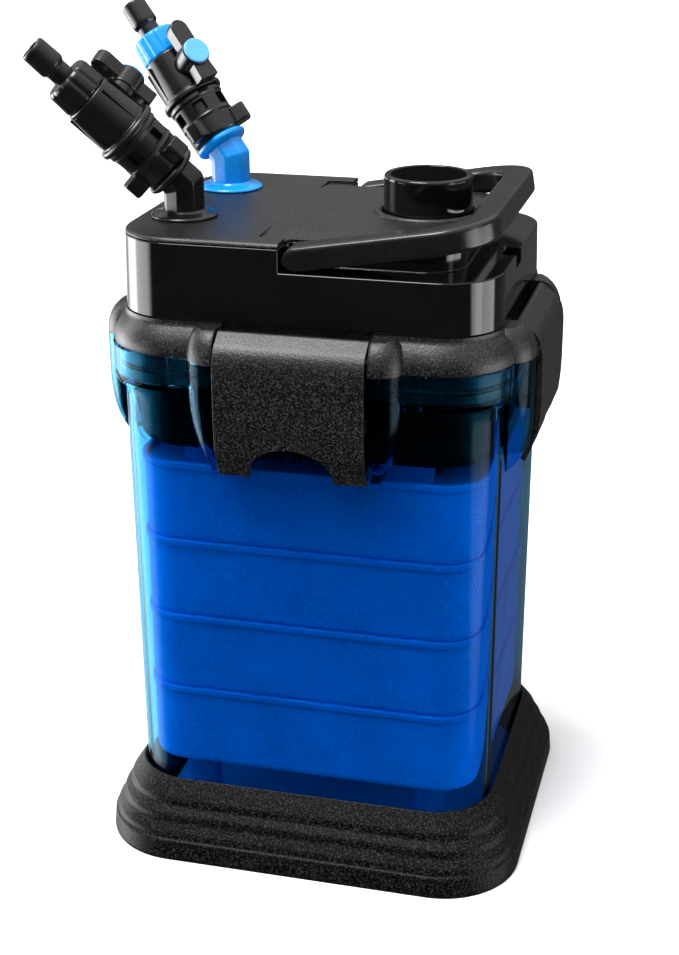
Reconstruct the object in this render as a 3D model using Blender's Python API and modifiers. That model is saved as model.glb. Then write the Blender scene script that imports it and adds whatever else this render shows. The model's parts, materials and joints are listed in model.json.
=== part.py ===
"""Aquarium canister filter: a clear blue canister on a stepped foot, four media baskets, and a
pump head held by four clamps, with a carrying handle, a priming button and two hose taps.

The dimensions below are in millimetres. The origin is the centre of the foot's underside, +Z is up,
-Y is the front and the taps stand on the -X side of the head.
"""

import math

import bmesh
import bpy
from mathutils import Matrix, Vector

MM = 0.001
GAP = 0.3
CORNER_STEPS = 5
ROUND_STEPS = 20
SMOOTH_ANGLE = math.radians(32)

# Plans are (half width along X, half depth along Y, corner radius).
CANISTER_TOP = (117.0, 100.0, 36.0)
CANISTER_FOOT = (115.0, 98.0, 36.0)
CANISTER_WALL = 3.0
CANISTER_BASE_Z = 5.3
COLLAR_PLAN = (123.5, 106.5, 42.5)
COLLAR_LOW_Z = 312.5
COLLAR_TOP_Z = 337.2

FOOT_POCKET = (116.0, 99.0, 37.0)
FOOT_OUTER = (136.8, 122.1, 50.6)
FOOT_FLOOR = 5.0
# Share of the way from the pocket to the outer edge, and height: three steps down to the floor.
FOOT_STEPS = [
    (0.02, 48.0), (0.07, 49.0), (0.44, 37.5), (0.46, 35.0), (0.65, 28.5), (0.67, 26.0),
    (0.86, 18.0), (0.88, 15.5), (0.95, 14.0), (1.00, 1.5), (0.985, 0.0),
]

RIM_Z = 337.5
RIM_TOP_Z = 357.5
# How far the rim stands out from the head's wall, and height, along its rounded shoulder.
RIM_SHOULDER = [(8.3, 337.5), (8.2, 341.0), (7.2, 345.0), (5.2, 349.0), (2.6, 352.6), (0.8, 354.8), (0.5, 357.5)]
RIM_FLOOR_Z = 341.5
PLUG_LOW_Z = 320.0
SEAL_Z = 327.0
SEAL_SIZE = 3.0

HEAD_PLAN = (115.5, 96.7, 37.0)
HEAD_DRAFT = 1.0
HEAD_LOW_Z = 357.8
LEDGE_Z = 389.5
HOUSING_TOP_Z = 403.2
PLATE_LOW_Z = 403.5
PLATE_TOP_Z = 406.5
INNER_BLOCK_X = 91.0
INNER_BLOCK_Y = 75.0
INNER_BLOCK_RADIUS = 22.0
RECESS_START_X = -11.0

# The four sides carry the same clamp and fins: turn about Z, and distance of the canister's wall.
SIDES = {"front": (-90, 100.0), "right": (0, 117.0), "back": (90, 100.0), "left": (180, 117.0)}
CLAMP_HALF_WIDTH = 45.0
CLAMP_REACH = 19.3
FIN_REACH = 16.5
CLAMP_PIN = (9.0, 344.5)
CLAMP_PIN_RADIUS = 1.6
# Distance of a fin's near side from the clamp's middle, and its width.
FIN_NEAR = 46.0
FIN_WIDTH = {"front": 19.8, "back": 19.8, "right": 25.0, "left": 25.0}
FIN_TIP_Z = 262.0

HANDLE_PIVOT = (-1.5, 397.5)
HANDLE_HEIGHT = 14.6
HANDLE_WIDTH = 18.5
HANDLE_RAISED = 9.5

BUTTON = (54.8, 8.0)
BUTTON_RADIUS = 27.2
BUTTON_TOP_Z = 429.6
BARREL_FLOOR_Z = 373.0

# Where each tap stands, which way it leans and by how much, and where its lever and lugs point.
TAPS = {
    "outlet": {"place": (-86.0, -39.5), "azimuth": 205.0, "tilt": 46.0, "roll": 219.0, "lugs": (150.0, 270.0, 30.0)},
    "inlet": {"place": (-83.5, 44.5), "azimuth": 162.0, "tilt": 39.5, "roll": 159.0, "lugs": (60.0, 180.0, 300.0)},
}
TAP_BEND_Z = 426.5
LEVER_HUB = 62.0

MOTOR = (-30.0, -15.0)

BASKET_PLAN = (107.5, 90.5, 26.0)
BASKET_TOPS = [111.5, 163.0, 214.5, 266.0]
BASKET_LOW_Z = 58.0
BASKET_WALL = 2.0

COLOURS = {
    # name: (colour, roughness, alpha)
    "textured_black": ((0.025, 0.025, 0.027), 0.6, 1.0),
    "gloss_black": ((0.008, 0.008, 0.010), 0.15, 1.0),
    "satin_black": ((0.018, 0.018, 0.020), 0.35, 1.0),
    "clear_blue": ((0.02, 0.30, 0.75), 0.08, 0.4),
    "basket_blue": ((0.0, 0.10, 0.50), 0.4, 1.0),
    "tap_blue": ((0.02, 0.28, 0.78), 0.25, 1.0),
    "cap_blue": ((0.22, 0.52, 0.90), 0.35, 1.0),
    "rubber": ((0.03, 0.03, 0.03), 0.8, 1.0),
    "ceramic": ((0.85, 0.84, 0.80), 0.3, 1.0),
    "magnet": ((0.05, 0.05, 0.055), 0.5, 1.0),
    "steel": ((0.60, 0.60, 0.62), 0.25, 1.0),
    "foam": ((0.10, 0.12, 0.14), 0.95, 1.0),
    "floss": ((0.85, 0.87, 0.88), 0.95, 1.0),
    "bio_media": ((0.55, 0.50, 0.42), 0.9, 1.0),
}


# ---- scene, materials and small helpers ------------------------------------------------------

def clear_scene():
    for obj in list(bpy.data.objects):
        bpy.data.objects.remove(obj)
    for collection in list(bpy.data.collections):
        bpy.data.collections.remove(collection)


def new_collection(name):
    collection = bpy.data.collections.new(name)
    bpy.context.scene.collection.children.link(collection)
    return collection


def make_materials():
    made = {}
    for name, (colour, roughness, alpha) in COLOURS.items():
        material = bpy.data.materials.new(name)
        material.use_nodes = True
        shader = material.node_tree.nodes["Principled BSDF"]
        shader.inputs["Base Color"].default_value = (*colour, 1.0)
        shader.inputs["Roughness"].default_value = roughness
        shader.inputs["Metallic"].default_value = 1.0 if name == "steel" else 0.0
        shader.inputs["Alpha"].default_value = alpha
        material.diffuse_color = (*colour, alpha)
        made[name] = material
    return made


clear_scene()
PARTS = new_collection("canister_filter")
CUTTERS = new_collection("cutters")
MATERIALS = make_materials()


def link(obj, material=None, parent=None):
    """A piece if it has a material, and otherwise a cutter or an operand that isn't a piece."""
    if material:
        obj.data.materials.append(MATERIALS[material])
        PARTS.objects.link(obj)
    else:
        obj.hide_render = True
        obj.display_type = "WIRE"
        CUTTERS.objects.link(obj)
    obj.parent = parent
    return obj


def solid(name, mesh_edit, material=None, parent=None):
    """A new object from a bmesh, with its faces turned outwards and its round faces smooth."""
    bmesh.ops.recalc_face_normals(mesh_edit, faces=mesh_edit.faces)
    mesh = bpy.data.meshes.new(name)
    mesh_edit.to_mesh(mesh)
    mesh_edit.free()
    mesh.shade_smooth()
    mesh.set_sharp_from_angle(angle=SMOOTH_ANGLE)
    return link(bpy.data.objects.new(name, mesh), material, parent)


def boolean(obj, other, operation="DIFFERENCE"):
    modifier = obj.modifiers.new(f"{operation.lower()}_{other.name}", "BOOLEAN")
    modifier.operation = operation
    modifier.object = other
    return obj


def bevel(obj, width, segments=2, angle=40):
    modifier = obj.modifiers.new("rounded_edges", "BEVEL")
    modifier.width = width * MM
    modifier.segments = segments
    modifier.limit_method = "ANGLE"
    modifier.angle_limit = math.radians(angle)
    return obj


def grown(plan, offset):
    return tuple(value + offset for value in plan)


def mixed(first, second, share):
    return tuple(a + (b - a) * share for a, b in zip(first, second))


def rounded_ring(plan, height, centre=(0.0, 0.0)):
    """The points of a rounded rectangle at one height, anticlockwise from +X."""
    half_x, half_y, radius = plan
    points = []
    for quarter in range(4):
        centre_x = centre[0] + (half_x - radius) * (1 if quarter in (0, 3) else -1)
        centre_y = centre[1] + (half_y - radius) * (1 if quarter in (0, 1) else -1)
        for step in range(CORNER_STEPS + 1):
            angle = math.radians(90 * (quarter + step / CORNER_STEPS))
            x = centre_x + radius * math.cos(angle)
            y = centre_y + radius * math.sin(angle)
            points.append(Vector((x, y, height)))
    return points


def loft(name, rings, material=None, parent=None, closed=False):
    """Skins rings of equally many points. Its ends are capped, or joined if it closes on itself."""
    edit = bmesh.new()
    rows = [[edit.verts.new(point * MM) for point in ring] for ring in rings]
    pairs = list(zip(rows, rows[1:]))
    if closed:
        pairs.append((rows[-1], rows[0]))
    else:
        edit.faces.new(rows[0])
        edit.faces.new(rows[-1])
    for low, high in pairs:
        for i in range(len(low)):
            j = (i + 1) % len(low)
            edit.faces.new((low[i], low[j], high[j], high[i]))
    return solid(name, edit, material, parent)


def turned(name, profile, material=None, parent=None, steps=ROUND_STEPS, centre=(0.0, 0.0)):
    """A profile of (radius, height) points turned about Z. It runs down the outer side; a profile
    whose ends lie off the axis closes on itself, as a tube or a ring does."""
    mesh = bpy.data.meshes.new(name)
    points = [Vector((radius * MM, 0, height * MM)) for radius, height in profile]
    edges = [(i, i + 1) for i in range(len(points) - 1)]
    if profile[0][0] > 0:
        edges.append((len(points) - 1, 0))
    mesh.from_pydata(points, edges, [])
    obj = bpy.data.objects.new(name, mesh)
    obj.location = (centre[0] * MM, centre[1] * MM, 0)
    screw = obj.modifiers.new("turned", "SCREW")
    screw.steps = steps
    screw.render_steps = steps
    screw.use_merge_vertices = True
    screw.merge_threshold = 0.00001
    screw.use_smooth_shade = True
    return link(obj, material, parent)


def cylinder(name, radius, start, end, material=None, parent=None, steps=ROUND_STEPS):
    """A round bar from one point to another."""
    start, end = Vector(start), Vector(end)
    along = end - start
    edit = bmesh.new()
    turn = along.to_track_quat("Z", "Y").to_matrix().to_4x4()
    place = Matrix.Translation((start + end) / 2 * MM) @ turn
    bmesh.ops.create_cone(
        edit, cap_ends=True, segments=steps, radius1=radius * MM, radius2=radius * MM,
        depth=along.length * MM, matrix=place,
    )
    return solid(name, edit, material, parent)


def box(name, low, high, material=None, parent=None):
    low, high = Vector(low), Vector(high)
    edit = bmesh.new()
    size = Matrix.Diagonal((*((high - low) * MM), 1.0))
    bmesh.ops.create_cube(edit, size=1.0, matrix=Matrix.Translation((low + high) / 2 * MM) @ size)
    return solid(name, edit, material, parent)


def prism(name, outline, start, end, axes="XYZ", material=None, parent=None):
    """A flat outline drawn in the plane of the first two axes and drawn out along the third."""
    order = ["XYZ".index(axis) for axis in axes]
    edit = bmesh.new()
    corners = []
    for u, v in outline:
        point = Vector((0.0, 0.0, 0.0))
        point[order[0]], point[order[1]], point[order[2]] = u, v, start
        corners.append(edit.verts.new(point * MM))
    face = edit.faces.new(corners)
    drawn = bmesh.ops.extrude_face_region(edit, geom=[face])
    step = Vector((0.0, 0.0, 0.0))
    step[order[2]] = (end - start) * MM
    moved = [item for item in drawn["geom"] if isinstance(item, bmesh.types.BMVert)]
    bmesh.ops.translate(edit, verts=moved, vec=step)
    return solid(name, edit, material, parent)


def joined(name, objects, material=None, parent=None):
    """One object from several whose meshes need no modifiers; each keeps its place."""
    edit = bmesh.new()
    for obj in objects:
        mesh = obj.data.copy()
        mesh.transform(obj.matrix_basis)
        edit.from_mesh(mesh)
        bpy.data.objects.remove(obj)
        bpy.data.meshes.remove(mesh)
    return solid(name, edit, material, parent)


def arc(centre, radius, start, end, steps):
    """Points of a flat arc, angles in degrees."""
    points = []
    for step in range(steps + 1):
        angle = math.radians(start + (end - start) * step / steps)
        points.append((centre[0] + radius * math.cos(angle), centre[1] + radius * math.sin(angle)))
    return points


def empty(name, matrix, parent=None):
    obj = bpy.data.objects.new(name, None)
    PARTS.objects.link(obj)
    obj.parent = parent
    obj.matrix_local = matrix
    return obj


def side_frame(side):
    """An empty whose +X points out of one side of the canister."""
    return empty(f"{side}_side", Matrix.Rotation(math.radians(SIDES[side][0]), 4, "Z"))


# ---- foot and canister -----------------------------------------------------------------------

def make_foot():
    rings = [rounded_ring(FOOT_POCKET, FOOT_FLOOR)]
    rings += [rounded_ring(mixed(FOOT_POCKET, FOOT_OUTER, share), z) for share, z in FOOT_STEPS]
    loft("base_foot", rings, "textured_black")


def fin_ring(wall, sign, width, reach, height):
    """A fin's outline at one height: square beside the clamp, and rounding off to the wall away from it."""
    root = 1.5
    if height >= RIM_Z:
        root = 4.0
    elif height > COLLAR_LOW_Z + 6:
        root = -5.0
    points = [(-root, 0.0), (reach, 0.0)]
    for share in (0.3, 0.55, 0.78, 0.94):
        points.append((max(reach * (1 - share ** 2.3) ** 0.52, 0.2 - root), width * share))
    points.append((-root, width))
    return [Vector((wall + out, sign * (FIN_NEAR + across), height)) for out, across in points]


def fins(name, heights, shape_at):
    """The eight fins that flank the clamps, as one operand for a union."""
    made = []
    for side, (turn, wall) in SIDES.items():
        for sign in (-1, 1):
            rings = []
            for height in heights:
                reach, share = shape_at(height)
                rings.append(fin_ring(wall, sign, FIN_WIDTH[side] * share, reach, height))
            fin = loft(f"{name}_{side}_{sign}", rings)
            fin.matrix_basis = Matrix.Rotation(math.radians(turn), 4, "Z")
            made.append(fin)
    return joined(name, made)


def canister_fin_shape(height):
    """A fin's reach and its share of the full width: it narrows to the clamp's tip."""
    full_above = 318.0
    share = max(0.0, (full_above - height) / (full_above - FIN_TIP_Z))
    return FIN_REACH * (1 - share ** 4), 1 - 0.9 * share ** 2


def rim_fin_shape(height):
    """The rim's domes close over the fins as a quarter round."""
    share = (height - RIM_Z) / (RIM_TOP_Z + 0.5 - RIM_Z)
    round_off = math.sqrt(max(0.0, 1 - share ** 2.1))
    return FIN_REACH * round_off, 0.5 + 0.5 * round_off


def make_canister():
    inner_top, inner_foot = grown(CANISTER_TOP, -CANISTER_WALL), grown(CANISTER_FOOT, -CANISTER_WALL)
    rings = [
        rounded_ring(grown(CANISTER_FOOT, -2.0), CANISTER_BASE_Z),
        rounded_ring(CANISTER_FOOT, CANISTER_BASE_Z + 2.5),
        rounded_ring(CANISTER_TOP, COLLAR_LOW_Z - 6),
        rounded_ring(grown(CANISTER_TOP, 0.8), COLLAR_LOW_Z),
        rounded_ring(grown(COLLAR_PLAN, -1.2), COLLAR_LOW_Z + 2),
        rounded_ring(grown(COLLAR_PLAN, -0.2), COLLAR_LOW_Z + 6),
        rounded_ring(COLLAR_PLAN, COLLAR_TOP_Z),
        rounded_ring(grown(COLLAR_PLAN, -CANISTER_WALL), COLLAR_TOP_Z),
        rounded_ring(grown(COLLAR_PLAN, -CANISTER_WALL), COLLAR_LOW_Z + 6.5),
        rounded_ring(inner_top, COLLAR_LOW_Z + 1),
        rounded_ring(inner_foot, CANISTER_BASE_Z + CANISTER_WALL),
    ]
    canister = loft("canister", rings, "clear_blue")
    heights = [COLLAR_TOP_Z, COLLAR_LOW_Z + 6.6, COLLAR_LOW_Z, 300.0, 287.0, 275.0, 266.0, FIN_TIP_Z]
    boolean(canister, fins("canister_fins", heights, canister_fin_shape), "UNION")


# ---- baskets and media -----------------------------------------------------------------------

def make_basket(index):
    low = BASKET_LOW_Z if index == 0 else BASKET_TOPS[index - 1] + GAP
    top = BASKET_TOPS[index]
    lip = grown(BASKET_PLAN, 1.6)
    rings = [
        rounded_ring(grown(BASKET_PLAN, -2.5), low),
        rounded_ring(BASKET_PLAN, low + 2.5),
        rounded_ring(BASKET_PLAN, top - 4.0),
        rounded_ring(lip, top - 3.2),
        rounded_ring(lip, top),
        rounded_ring(grown(BASKET_PLAN, -BASKET_WALL), top),
        rounded_ring(grown(BASKET_PLAN, -BASKET_WALL), low + BASKET_WALL),
    ]
    basket = loft(f"media_basket_{index + 1}", rings, "basket_blue")
    slots = []
    for column in range(-2, 3):
        x = column * 36.0
        slots.append(box(f"slot_{column}", (x - 9, -60, low - 3), (x + 9, 60, low + BASKET_WALL + 3)))
    boolean(basket, joined(f"basket_{index + 1}_slots", slots))
    return basket


def make_basket_legs(basket):
    """Four round legs carry the stack clear of the canister's floor."""
    floor = CANISTER_BASE_Z + CANISTER_WALL + GAP
    for x in (-76, 76):
        for y in (-66, 66):
            leg = cylinder(f"leg_{x}_{y}", 11, (x, y, floor), (x, y, BASKET_LOW_Z + 1.2), steps=16)
            boolean(basket, leg, "UNION")


def make_basket_lid():
    """A slotted lid drops into the top basket and keeps the floss down."""
    lid_z = BASKET_TOPS[-1] - 6.0
    plan = grown(BASKET_PLAN, -BASKET_WALL - GAP)
    rings = [rounded_ring(plan, lid_z), rounded_ring(plan, lid_z + 2.0)]
    lid = loft("basket_lid", rings, "basket_blue")
    slots = []
    for row in (-1, 0, 1):
        for column in range(-4, 5):
            x, y = column * 19.0, row * 46.0
            slots.append(box(f"lid_slot_{row}_{column}", (x - 4, y - 18, lid_z - 2), (x + 4, y + 18, lid_z + 5)))
    boolean(lid, joined("lid_slots", slots))
    for x in (-62, 62):
        tab = box(f"lid_tab_{x}", (x - 16, -78, lid_z + 1), (x + 16, -74, lid_z + 12))
        boolean(lid, tab, "UNION")


def make_media():
    names = [("bio_media_bag", "bio_media"), ("coarse_foam_pad", "foam"), ("carbon_bag", "foam"), ("floss_pad", "floss")]
    plan = grown(BASKET_PLAN, -BASKET_WALL - 2.0)
    for index, (name, material) in enumerate(names):
        low = (BASKET_LOW_Z if index == 0 else BASKET_TOPS[index - 1] + GAP) + BASKET_WALL + 1.0
        high = BASKET_TOPS[index] - 9.0
        rings = [
            rounded_ring(grown(plan, -4), low), rounded_ring(plan, low + 4),
            rounded_ring(plan, high - 4), rounded_ring(grown(plan, -4), high),
        ]
        loft(name, rings, material)


# ---- pump head -------------------------------------------------------------------------------

def hole(obj, place, radius, low, high):
    """A round hole along Z."""
    name = f"{obj.name}_hole_{round(place[0])}_{round(place[1])}_{round(radius)}"
    boolean(obj, cylinder(name, radius, (*place, low), (*place, high)))


def make_rim():
    plug = grown(COLLAR_PLAN, -CANISTER_WALL - 1.0)
    pocket = grown(HEAD_PLAN, -6.5)
    rings = [rounded_ring(pocket, RIM_FLOOR_Z), rounded_ring(pocket, RIM_TOP_Z)]
    rings += [rounded_ring(grown(HEAD_PLAN, out), z) for out, z in reversed(RIM_SHOULDER)]
    rings += [
        rounded_ring(plug, RIM_Z),
        rounded_ring(plug, SEAL_Z + SEAL_SIZE / 2 + GAP),
        rounded_ring(grown(plug, -SEAL_SIZE + 0.4), SEAL_Z + SEAL_SIZE / 2 + GAP),
        rounded_ring(grown(plug, -SEAL_SIZE + 0.4), SEAL_Z - SEAL_SIZE / 2 - GAP),
        rounded_ring(plug, SEAL_Z - SEAL_SIZE / 2 - GAP),
        rounded_ring(plug, PLUG_LOW_Z),
        rounded_ring(grown(plug, -5.0), PLUG_LOW_Z),
        rounded_ring(grown(plug, -5.0), RIM_Z + 0.5),
    ]
    rim = loft("head_rim", rings, "textured_black")
    heights = [RIM_Z, 344.0, 350.0, 354.0, 356.8]
    boolean(rim, fins("rim_domes", heights, rim_fin_shape), "UNION")
    for side, (turn, wall) in SIDES.items():
        half = CLAMP_HALF_WIDTH + 0.4
        pocket_cut = box(
            f"{side}_clamp_pocket", (wall - 5.0, -half, RIM_Z + 0.2), (wall + 30, half, RIM_TOP_Z + 3.0)
        )
        pocket_cut.matrix_basis = Matrix.Rotation(math.radians(turn), 4, "Z")
        boolean(rim, pocket_cut)
        out, z = CLAMP_PIN
        bore = cylinder(
            f"{side}_pin_bore", CLAMP_PIN_RADIUS + GAP,
            (wall + out, -half - 5, z), (wall + out, half + 5, z), steps=12,
        )
        bore.matrix_basis = Matrix.Rotation(math.radians(turn), 4, "Z")
        boolean(rim, bore)
    for tap in TAPS.values():
        hole(rim, tap["place"], 15.8, RIM_Z - 3, RIM_FLOOR_Z + 3)
    hole(rim, MOTOR, 13.4, RIM_Z - 3, RIM_FLOOR_Z + 3)
    hole(rim, BUTTON, 15.4, RIM_Z - 3, RIM_FLOOR_Z + 3)

    seal_plan = grown(plug, 0.4)
    low, high = SEAL_Z - SEAL_SIZE / 2, SEAL_Z + SEAL_SIZE / 2
    seal_rings = [
        rounded_ring(grown(seal_plan, 0.0), low + 0.8), rounded_ring(grown(seal_plan, 0.0), high - 0.8),
        rounded_ring(grown(seal_plan, -0.8), high), rounded_ring(grown(seal_plan, -SEAL_SIZE + 0.8), high),
        rounded_ring(grown(seal_plan, -SEAL_SIZE + 0.4), low),
        rounded_ring(grown(seal_plan, -0.8), low),
    ]
    loft("head_seal", seal_rings, "rubber", closed=True)


def inner_block_outline(inset):
    """The plan of the raised block inside the handle's recess, from its front end round to its back."""
    x, y = INNER_BLOCK_X - inset, INNER_BLOCK_Y - inset
    radius = INNER_BLOCK_RADIUS - inset
    front = arc((x - radius, -y + radius), radius, -90, 0, 5)
    back = arc((x - radius, y - radius), radius, 0, 90, 5)
    return front + back


def handle_recess(name):
    """The U-shaped cutter that opens the ledge where the handle lies."""
    reach = 140.0
    outline = [(RECESS_START_X, INNER_BLOCK_Y), (RECESS_START_X, reach), (reach, reach), (reach, -reach)]
    outline += [(RECESS_START_X, -reach), (RECESS_START_X, -INNER_BLOCK_Y)]
    outline += inner_block_outline(0.0)
    return prism(name, outline, LEDGE_Z, BUTTON_TOP_Z)


def make_housing():
    top_plan = grown(HEAD_PLAN, -HEAD_DRAFT)
    housing = loft(
        "head_housing", [rounded_ring(HEAD_PLAN, HEAD_LOW_Z), rounded_ring(top_plan, HOUSING_TOP_Z)], "gloss_black"
    )
    boolean(housing, handle_recess("housing_recess"))
    wall = 3.5
    cavity = [rounded_ring(grown(HEAD_PLAN, -wall), HEAD_LOW_Z - 5), rounded_ring(grown(HEAD_PLAN, -wall), LEDGE_Z - 3)]
    boolean(housing, loft("housing_cavity", cavity))
    left = -HEAD_PLAN[0] + 6
    outline = [(left, INNER_BLOCK_Y - wall), (left, -INNER_BLOCK_Y + wall)] + inner_block_outline(wall)
    boolean(housing, prism("housing_upper_cavity", outline, LEDGE_Z - 6, HOUSING_TOP_Z - 3))
    for tap in TAPS.values():
        hole(housing, tap["place"], 15.8, HOUSING_TOP_Z - 6, HOUSING_TOP_Z + 3)
    hole(housing, BUTTON, 31.3, HOUSING_TOP_Z - 6, HOUSING_TOP_Z + 3)
    finger_notch = box("handle_finger_notch", (106, -22, LEDGE_Z - 8), (130, -4, LEDGE_Z + 3))
    boolean(housing, finger_notch)
    inlet = cylinder("gland_bore", 6.3, (60, 80, 373), (60, 110, 373), steps=16)
    boolean(housing, inlet)
    for sign in (-1, 1):
        x, z = HANDLE_PIVOT
        name = f"pivot_bore_{sign}"
        bore = cylinder(name, 3.3, (x, sign * 66, z), (x, sign * 80, z), steps=16)
        boolean(housing, bore)


def make_top_plate():
    plan = grown(HEAD_PLAN, -HEAD_DRAFT)
    rings = [
        rounded_ring(plan, PLATE_LOW_Z), rounded_ring(grown(plan, -0.3), PLATE_LOW_Z + 1.2),
        rounded_ring(grown(plan, -1.2), PLATE_TOP_Z - 0.6), rounded_ring(grown(plan, -3.0), PLATE_TOP_Z),
    ]
    plate = loft("top_plate", rings, "textured_black")
    boolean(plate, handle_recess("plate_recess"))
    # A shallow facet falls from the top towards the handle on both sides.
    for sign in (-1, 1):
        outline = [(sign * 53, PLATE_TOP_Z + 0.02), (sign * 80, 404.4), (sign * 80, 415), (sign * 53, 415)]
        boolean(plate, prism(f"facet_{sign}", outline, -27, 140, axes="YZX"))
    ring = turned(
        "button_ring", [(32.8, 408.1), (33.8, 406.8), (33.8, 404.5), (28.9, 404.5), (28.9, 407.6), (31.0, 408.3)],
        centre=BUTTON,
    )
    boolean(plate, ring, "UNION")
    hole(plate, BUTTON, 28.4, PLATE_LOW_Z - 5, PLATE_TOP_Z + 10)
    for tap in TAPS.values():
        hole(plate, tap["place"], 12.5, PLATE_LOW_Z - 5, PLATE_TOP_Z + 5)


def make_gland():
    """The rubber bush where the supply lead would enter at the back."""
    frame = empty("gland_place", Matrix.Translation(Vector((60, 97.2, 373)) * MM) @ Matrix.Rotation(-math.pi / 2, 4, "X"))
    profile = [(5.2, 12.0), (6.5, 6.0), (9.0, 2.2), (9.0, 0.0), (5.9, -0.2), (5.9, -8.0), (3.6, -8.0), (3.6, 12.0)]
    turned("cord_gland", profile, "rubber", frame, steps=16)


def make_sockets():
    for name, tap in TAPS.items():
        profile = [(15.4, 402.6), (15.4, 325.0), (12.4, 325.0), (12.4, 402.6)]
        turned(f"{name}_socket", profile, "satin_black", centre=tap["place"])


# ---- motor -----------------------------------------------------------------------------------

def make_motor():
    low = 276.0
    plan = (110.0, 93.0, 33.0)
    rings = [
        rounded_ring(grown(plan, -3), low), rounded_ring(plan, low + 4), rounded_ring(grown(plan, 1.0), RIM_Z - 0.1),
        rounded_ring(grown(plan, -1.6), RIM_Z - 0.1), rounded_ring(grown(plan, -2.5), low + 2.5),
    ]
    chamber = loft("motor_chamber", rings, "satin_black")
    hole(chamber, MOTOR, 26.0, low - 4, low + 8)
    slots = []
    for column in range(6):
        x = 14.0 + column * 14.0
        slots.append(box(f"chamber_slot_{column}", (x, -55, low - 3), (x + 6, 55, low + 6)))
    boolean(chamber, joined("chamber_slots", slots))

    turned(
        "motor_can",
        [(0, 383.5), (26.0, 383.5), (27.0, 382.5), (27.0, 341.8), (13.0, 341.8), (13.0, 302.5), (9.6, 302.5),
         (9.6, 374.0), (0, 374.0)],
        "satin_black", centre=MOTOR,
    )
    turned("rotor_magnet", [(8.8, 368.0), (8.8, 305.0), (2.3, 305.0), (2.3, 368.0)], "magnet", centre=MOTOR, steps=16)
    turned("motor_shaft", [(0, 373.0), (1.9, 373.0), (1.9, 279.0), (0, 279.0)], "ceramic", centre=MOTOR, steps=12)
    make_impeller()
    volute = turned(
        "impeller_cover",
        [(24.5, 300.0), (24.5, 277.5), (2.4, 277.5), (2.4, 281.3), (21.5, 281.3), (21.5, 300.0)],
        "satin_black", centre=MOTOR,
    )
    return volute


def make_impeller():
    hub = turned("impeller", [(6.0, 304.6), (6.0, 284.0), (2.3, 284.0), (2.3, 304.6)], "satin_black", centre=MOTOR, steps=16)
    for blade in range(6):
        vane = box(f"vane_{blade}", (4.5, -0.9, 285.0), (18.0, 0.9, 299.0))
        vane.matrix_basis = Matrix.Translation((MOTOR[0] * MM, MOTOR[1] * MM, 0)) @ Matrix.Rotation(
            math.radians(60 * blade), 4, "Z"
        )
        boolean(hub, vane, "UNION")


# ---- clamps ----------------------------------------------------------------------------------

def clamp_outline(wall):
    """Side view of a clamp, (distance out, height): the skin outside, the pivot and hook inside."""
    reach = CLAMP_REACH
    outer = [
        (2.0, 353.6), (2.4, 355.6), (5.0, 355.9), (14.6, 348.6), (18.0, 343.0), (reach, 336.0), (reach, 300.0),
        (reach - 1.4, 286.0), (reach - 8.6, 268.5),
    ]
    inner = [
        (reach - 11.4, 269.6), (reach - 4.6, 286.5), (reach - 3.2, 302.5), (4.2, 303.0), (3.6, 305.0), (3.8, 310.2),
        (reach - 3.4, 310.8), (reach - 3.2, 331.0), (14.0, 337.8), (10.0, 340.4), (5.6, 341.5), (4.6, 345.0),
        (4.6, 350.0),
    ]
    return [(wall + out, z) for out, z in outer + inner]


def make_clamp(side):
    wall = SIDES[side][1]
    frame = side_frame(side)
    clamp = prism(f"{side}_clamp", clamp_outline(wall), -CLAMP_HALF_WIDTH, CLAMP_HALF_WIDTH, axes="XZY",
                  material="textured_black", parent=frame)
    arch = [(-25.5, 258.0), (-25.5, 268.0)]
    for step in range(1, 12):
        angle = math.pi * (1 - step / 12)
        arch.append((25.5 * math.cos(angle), 268.0 + 22.0 * math.sin(angle) ** 0.8))
    arch += [(25.5, 268.0), (25.5, 258.0)]
    boolean(clamp, prism(f"{side}_arch", arch, wall - 4, wall + 34, axes="YZX", parent=frame))
    out, z = CLAMP_PIN
    span = CLAMP_HALF_WIDTH + 5
    bore = cylinder(f"{side}_clamp_bore", CLAMP_PIN_RADIUS + GAP, (wall + out, -span, z), (wall + out, span, z),
                    parent=frame, steps=12)
    boolean(clamp, bore)
    cylinder(f"{side}_clamp_pin", CLAMP_PIN_RADIUS, (wall + out, -span + 0.6, z), (wall + out, span - 0.6, z), "steel",
             frame, steps=12)


# ---- handle ----------------------------------------------------------------------------------

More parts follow.
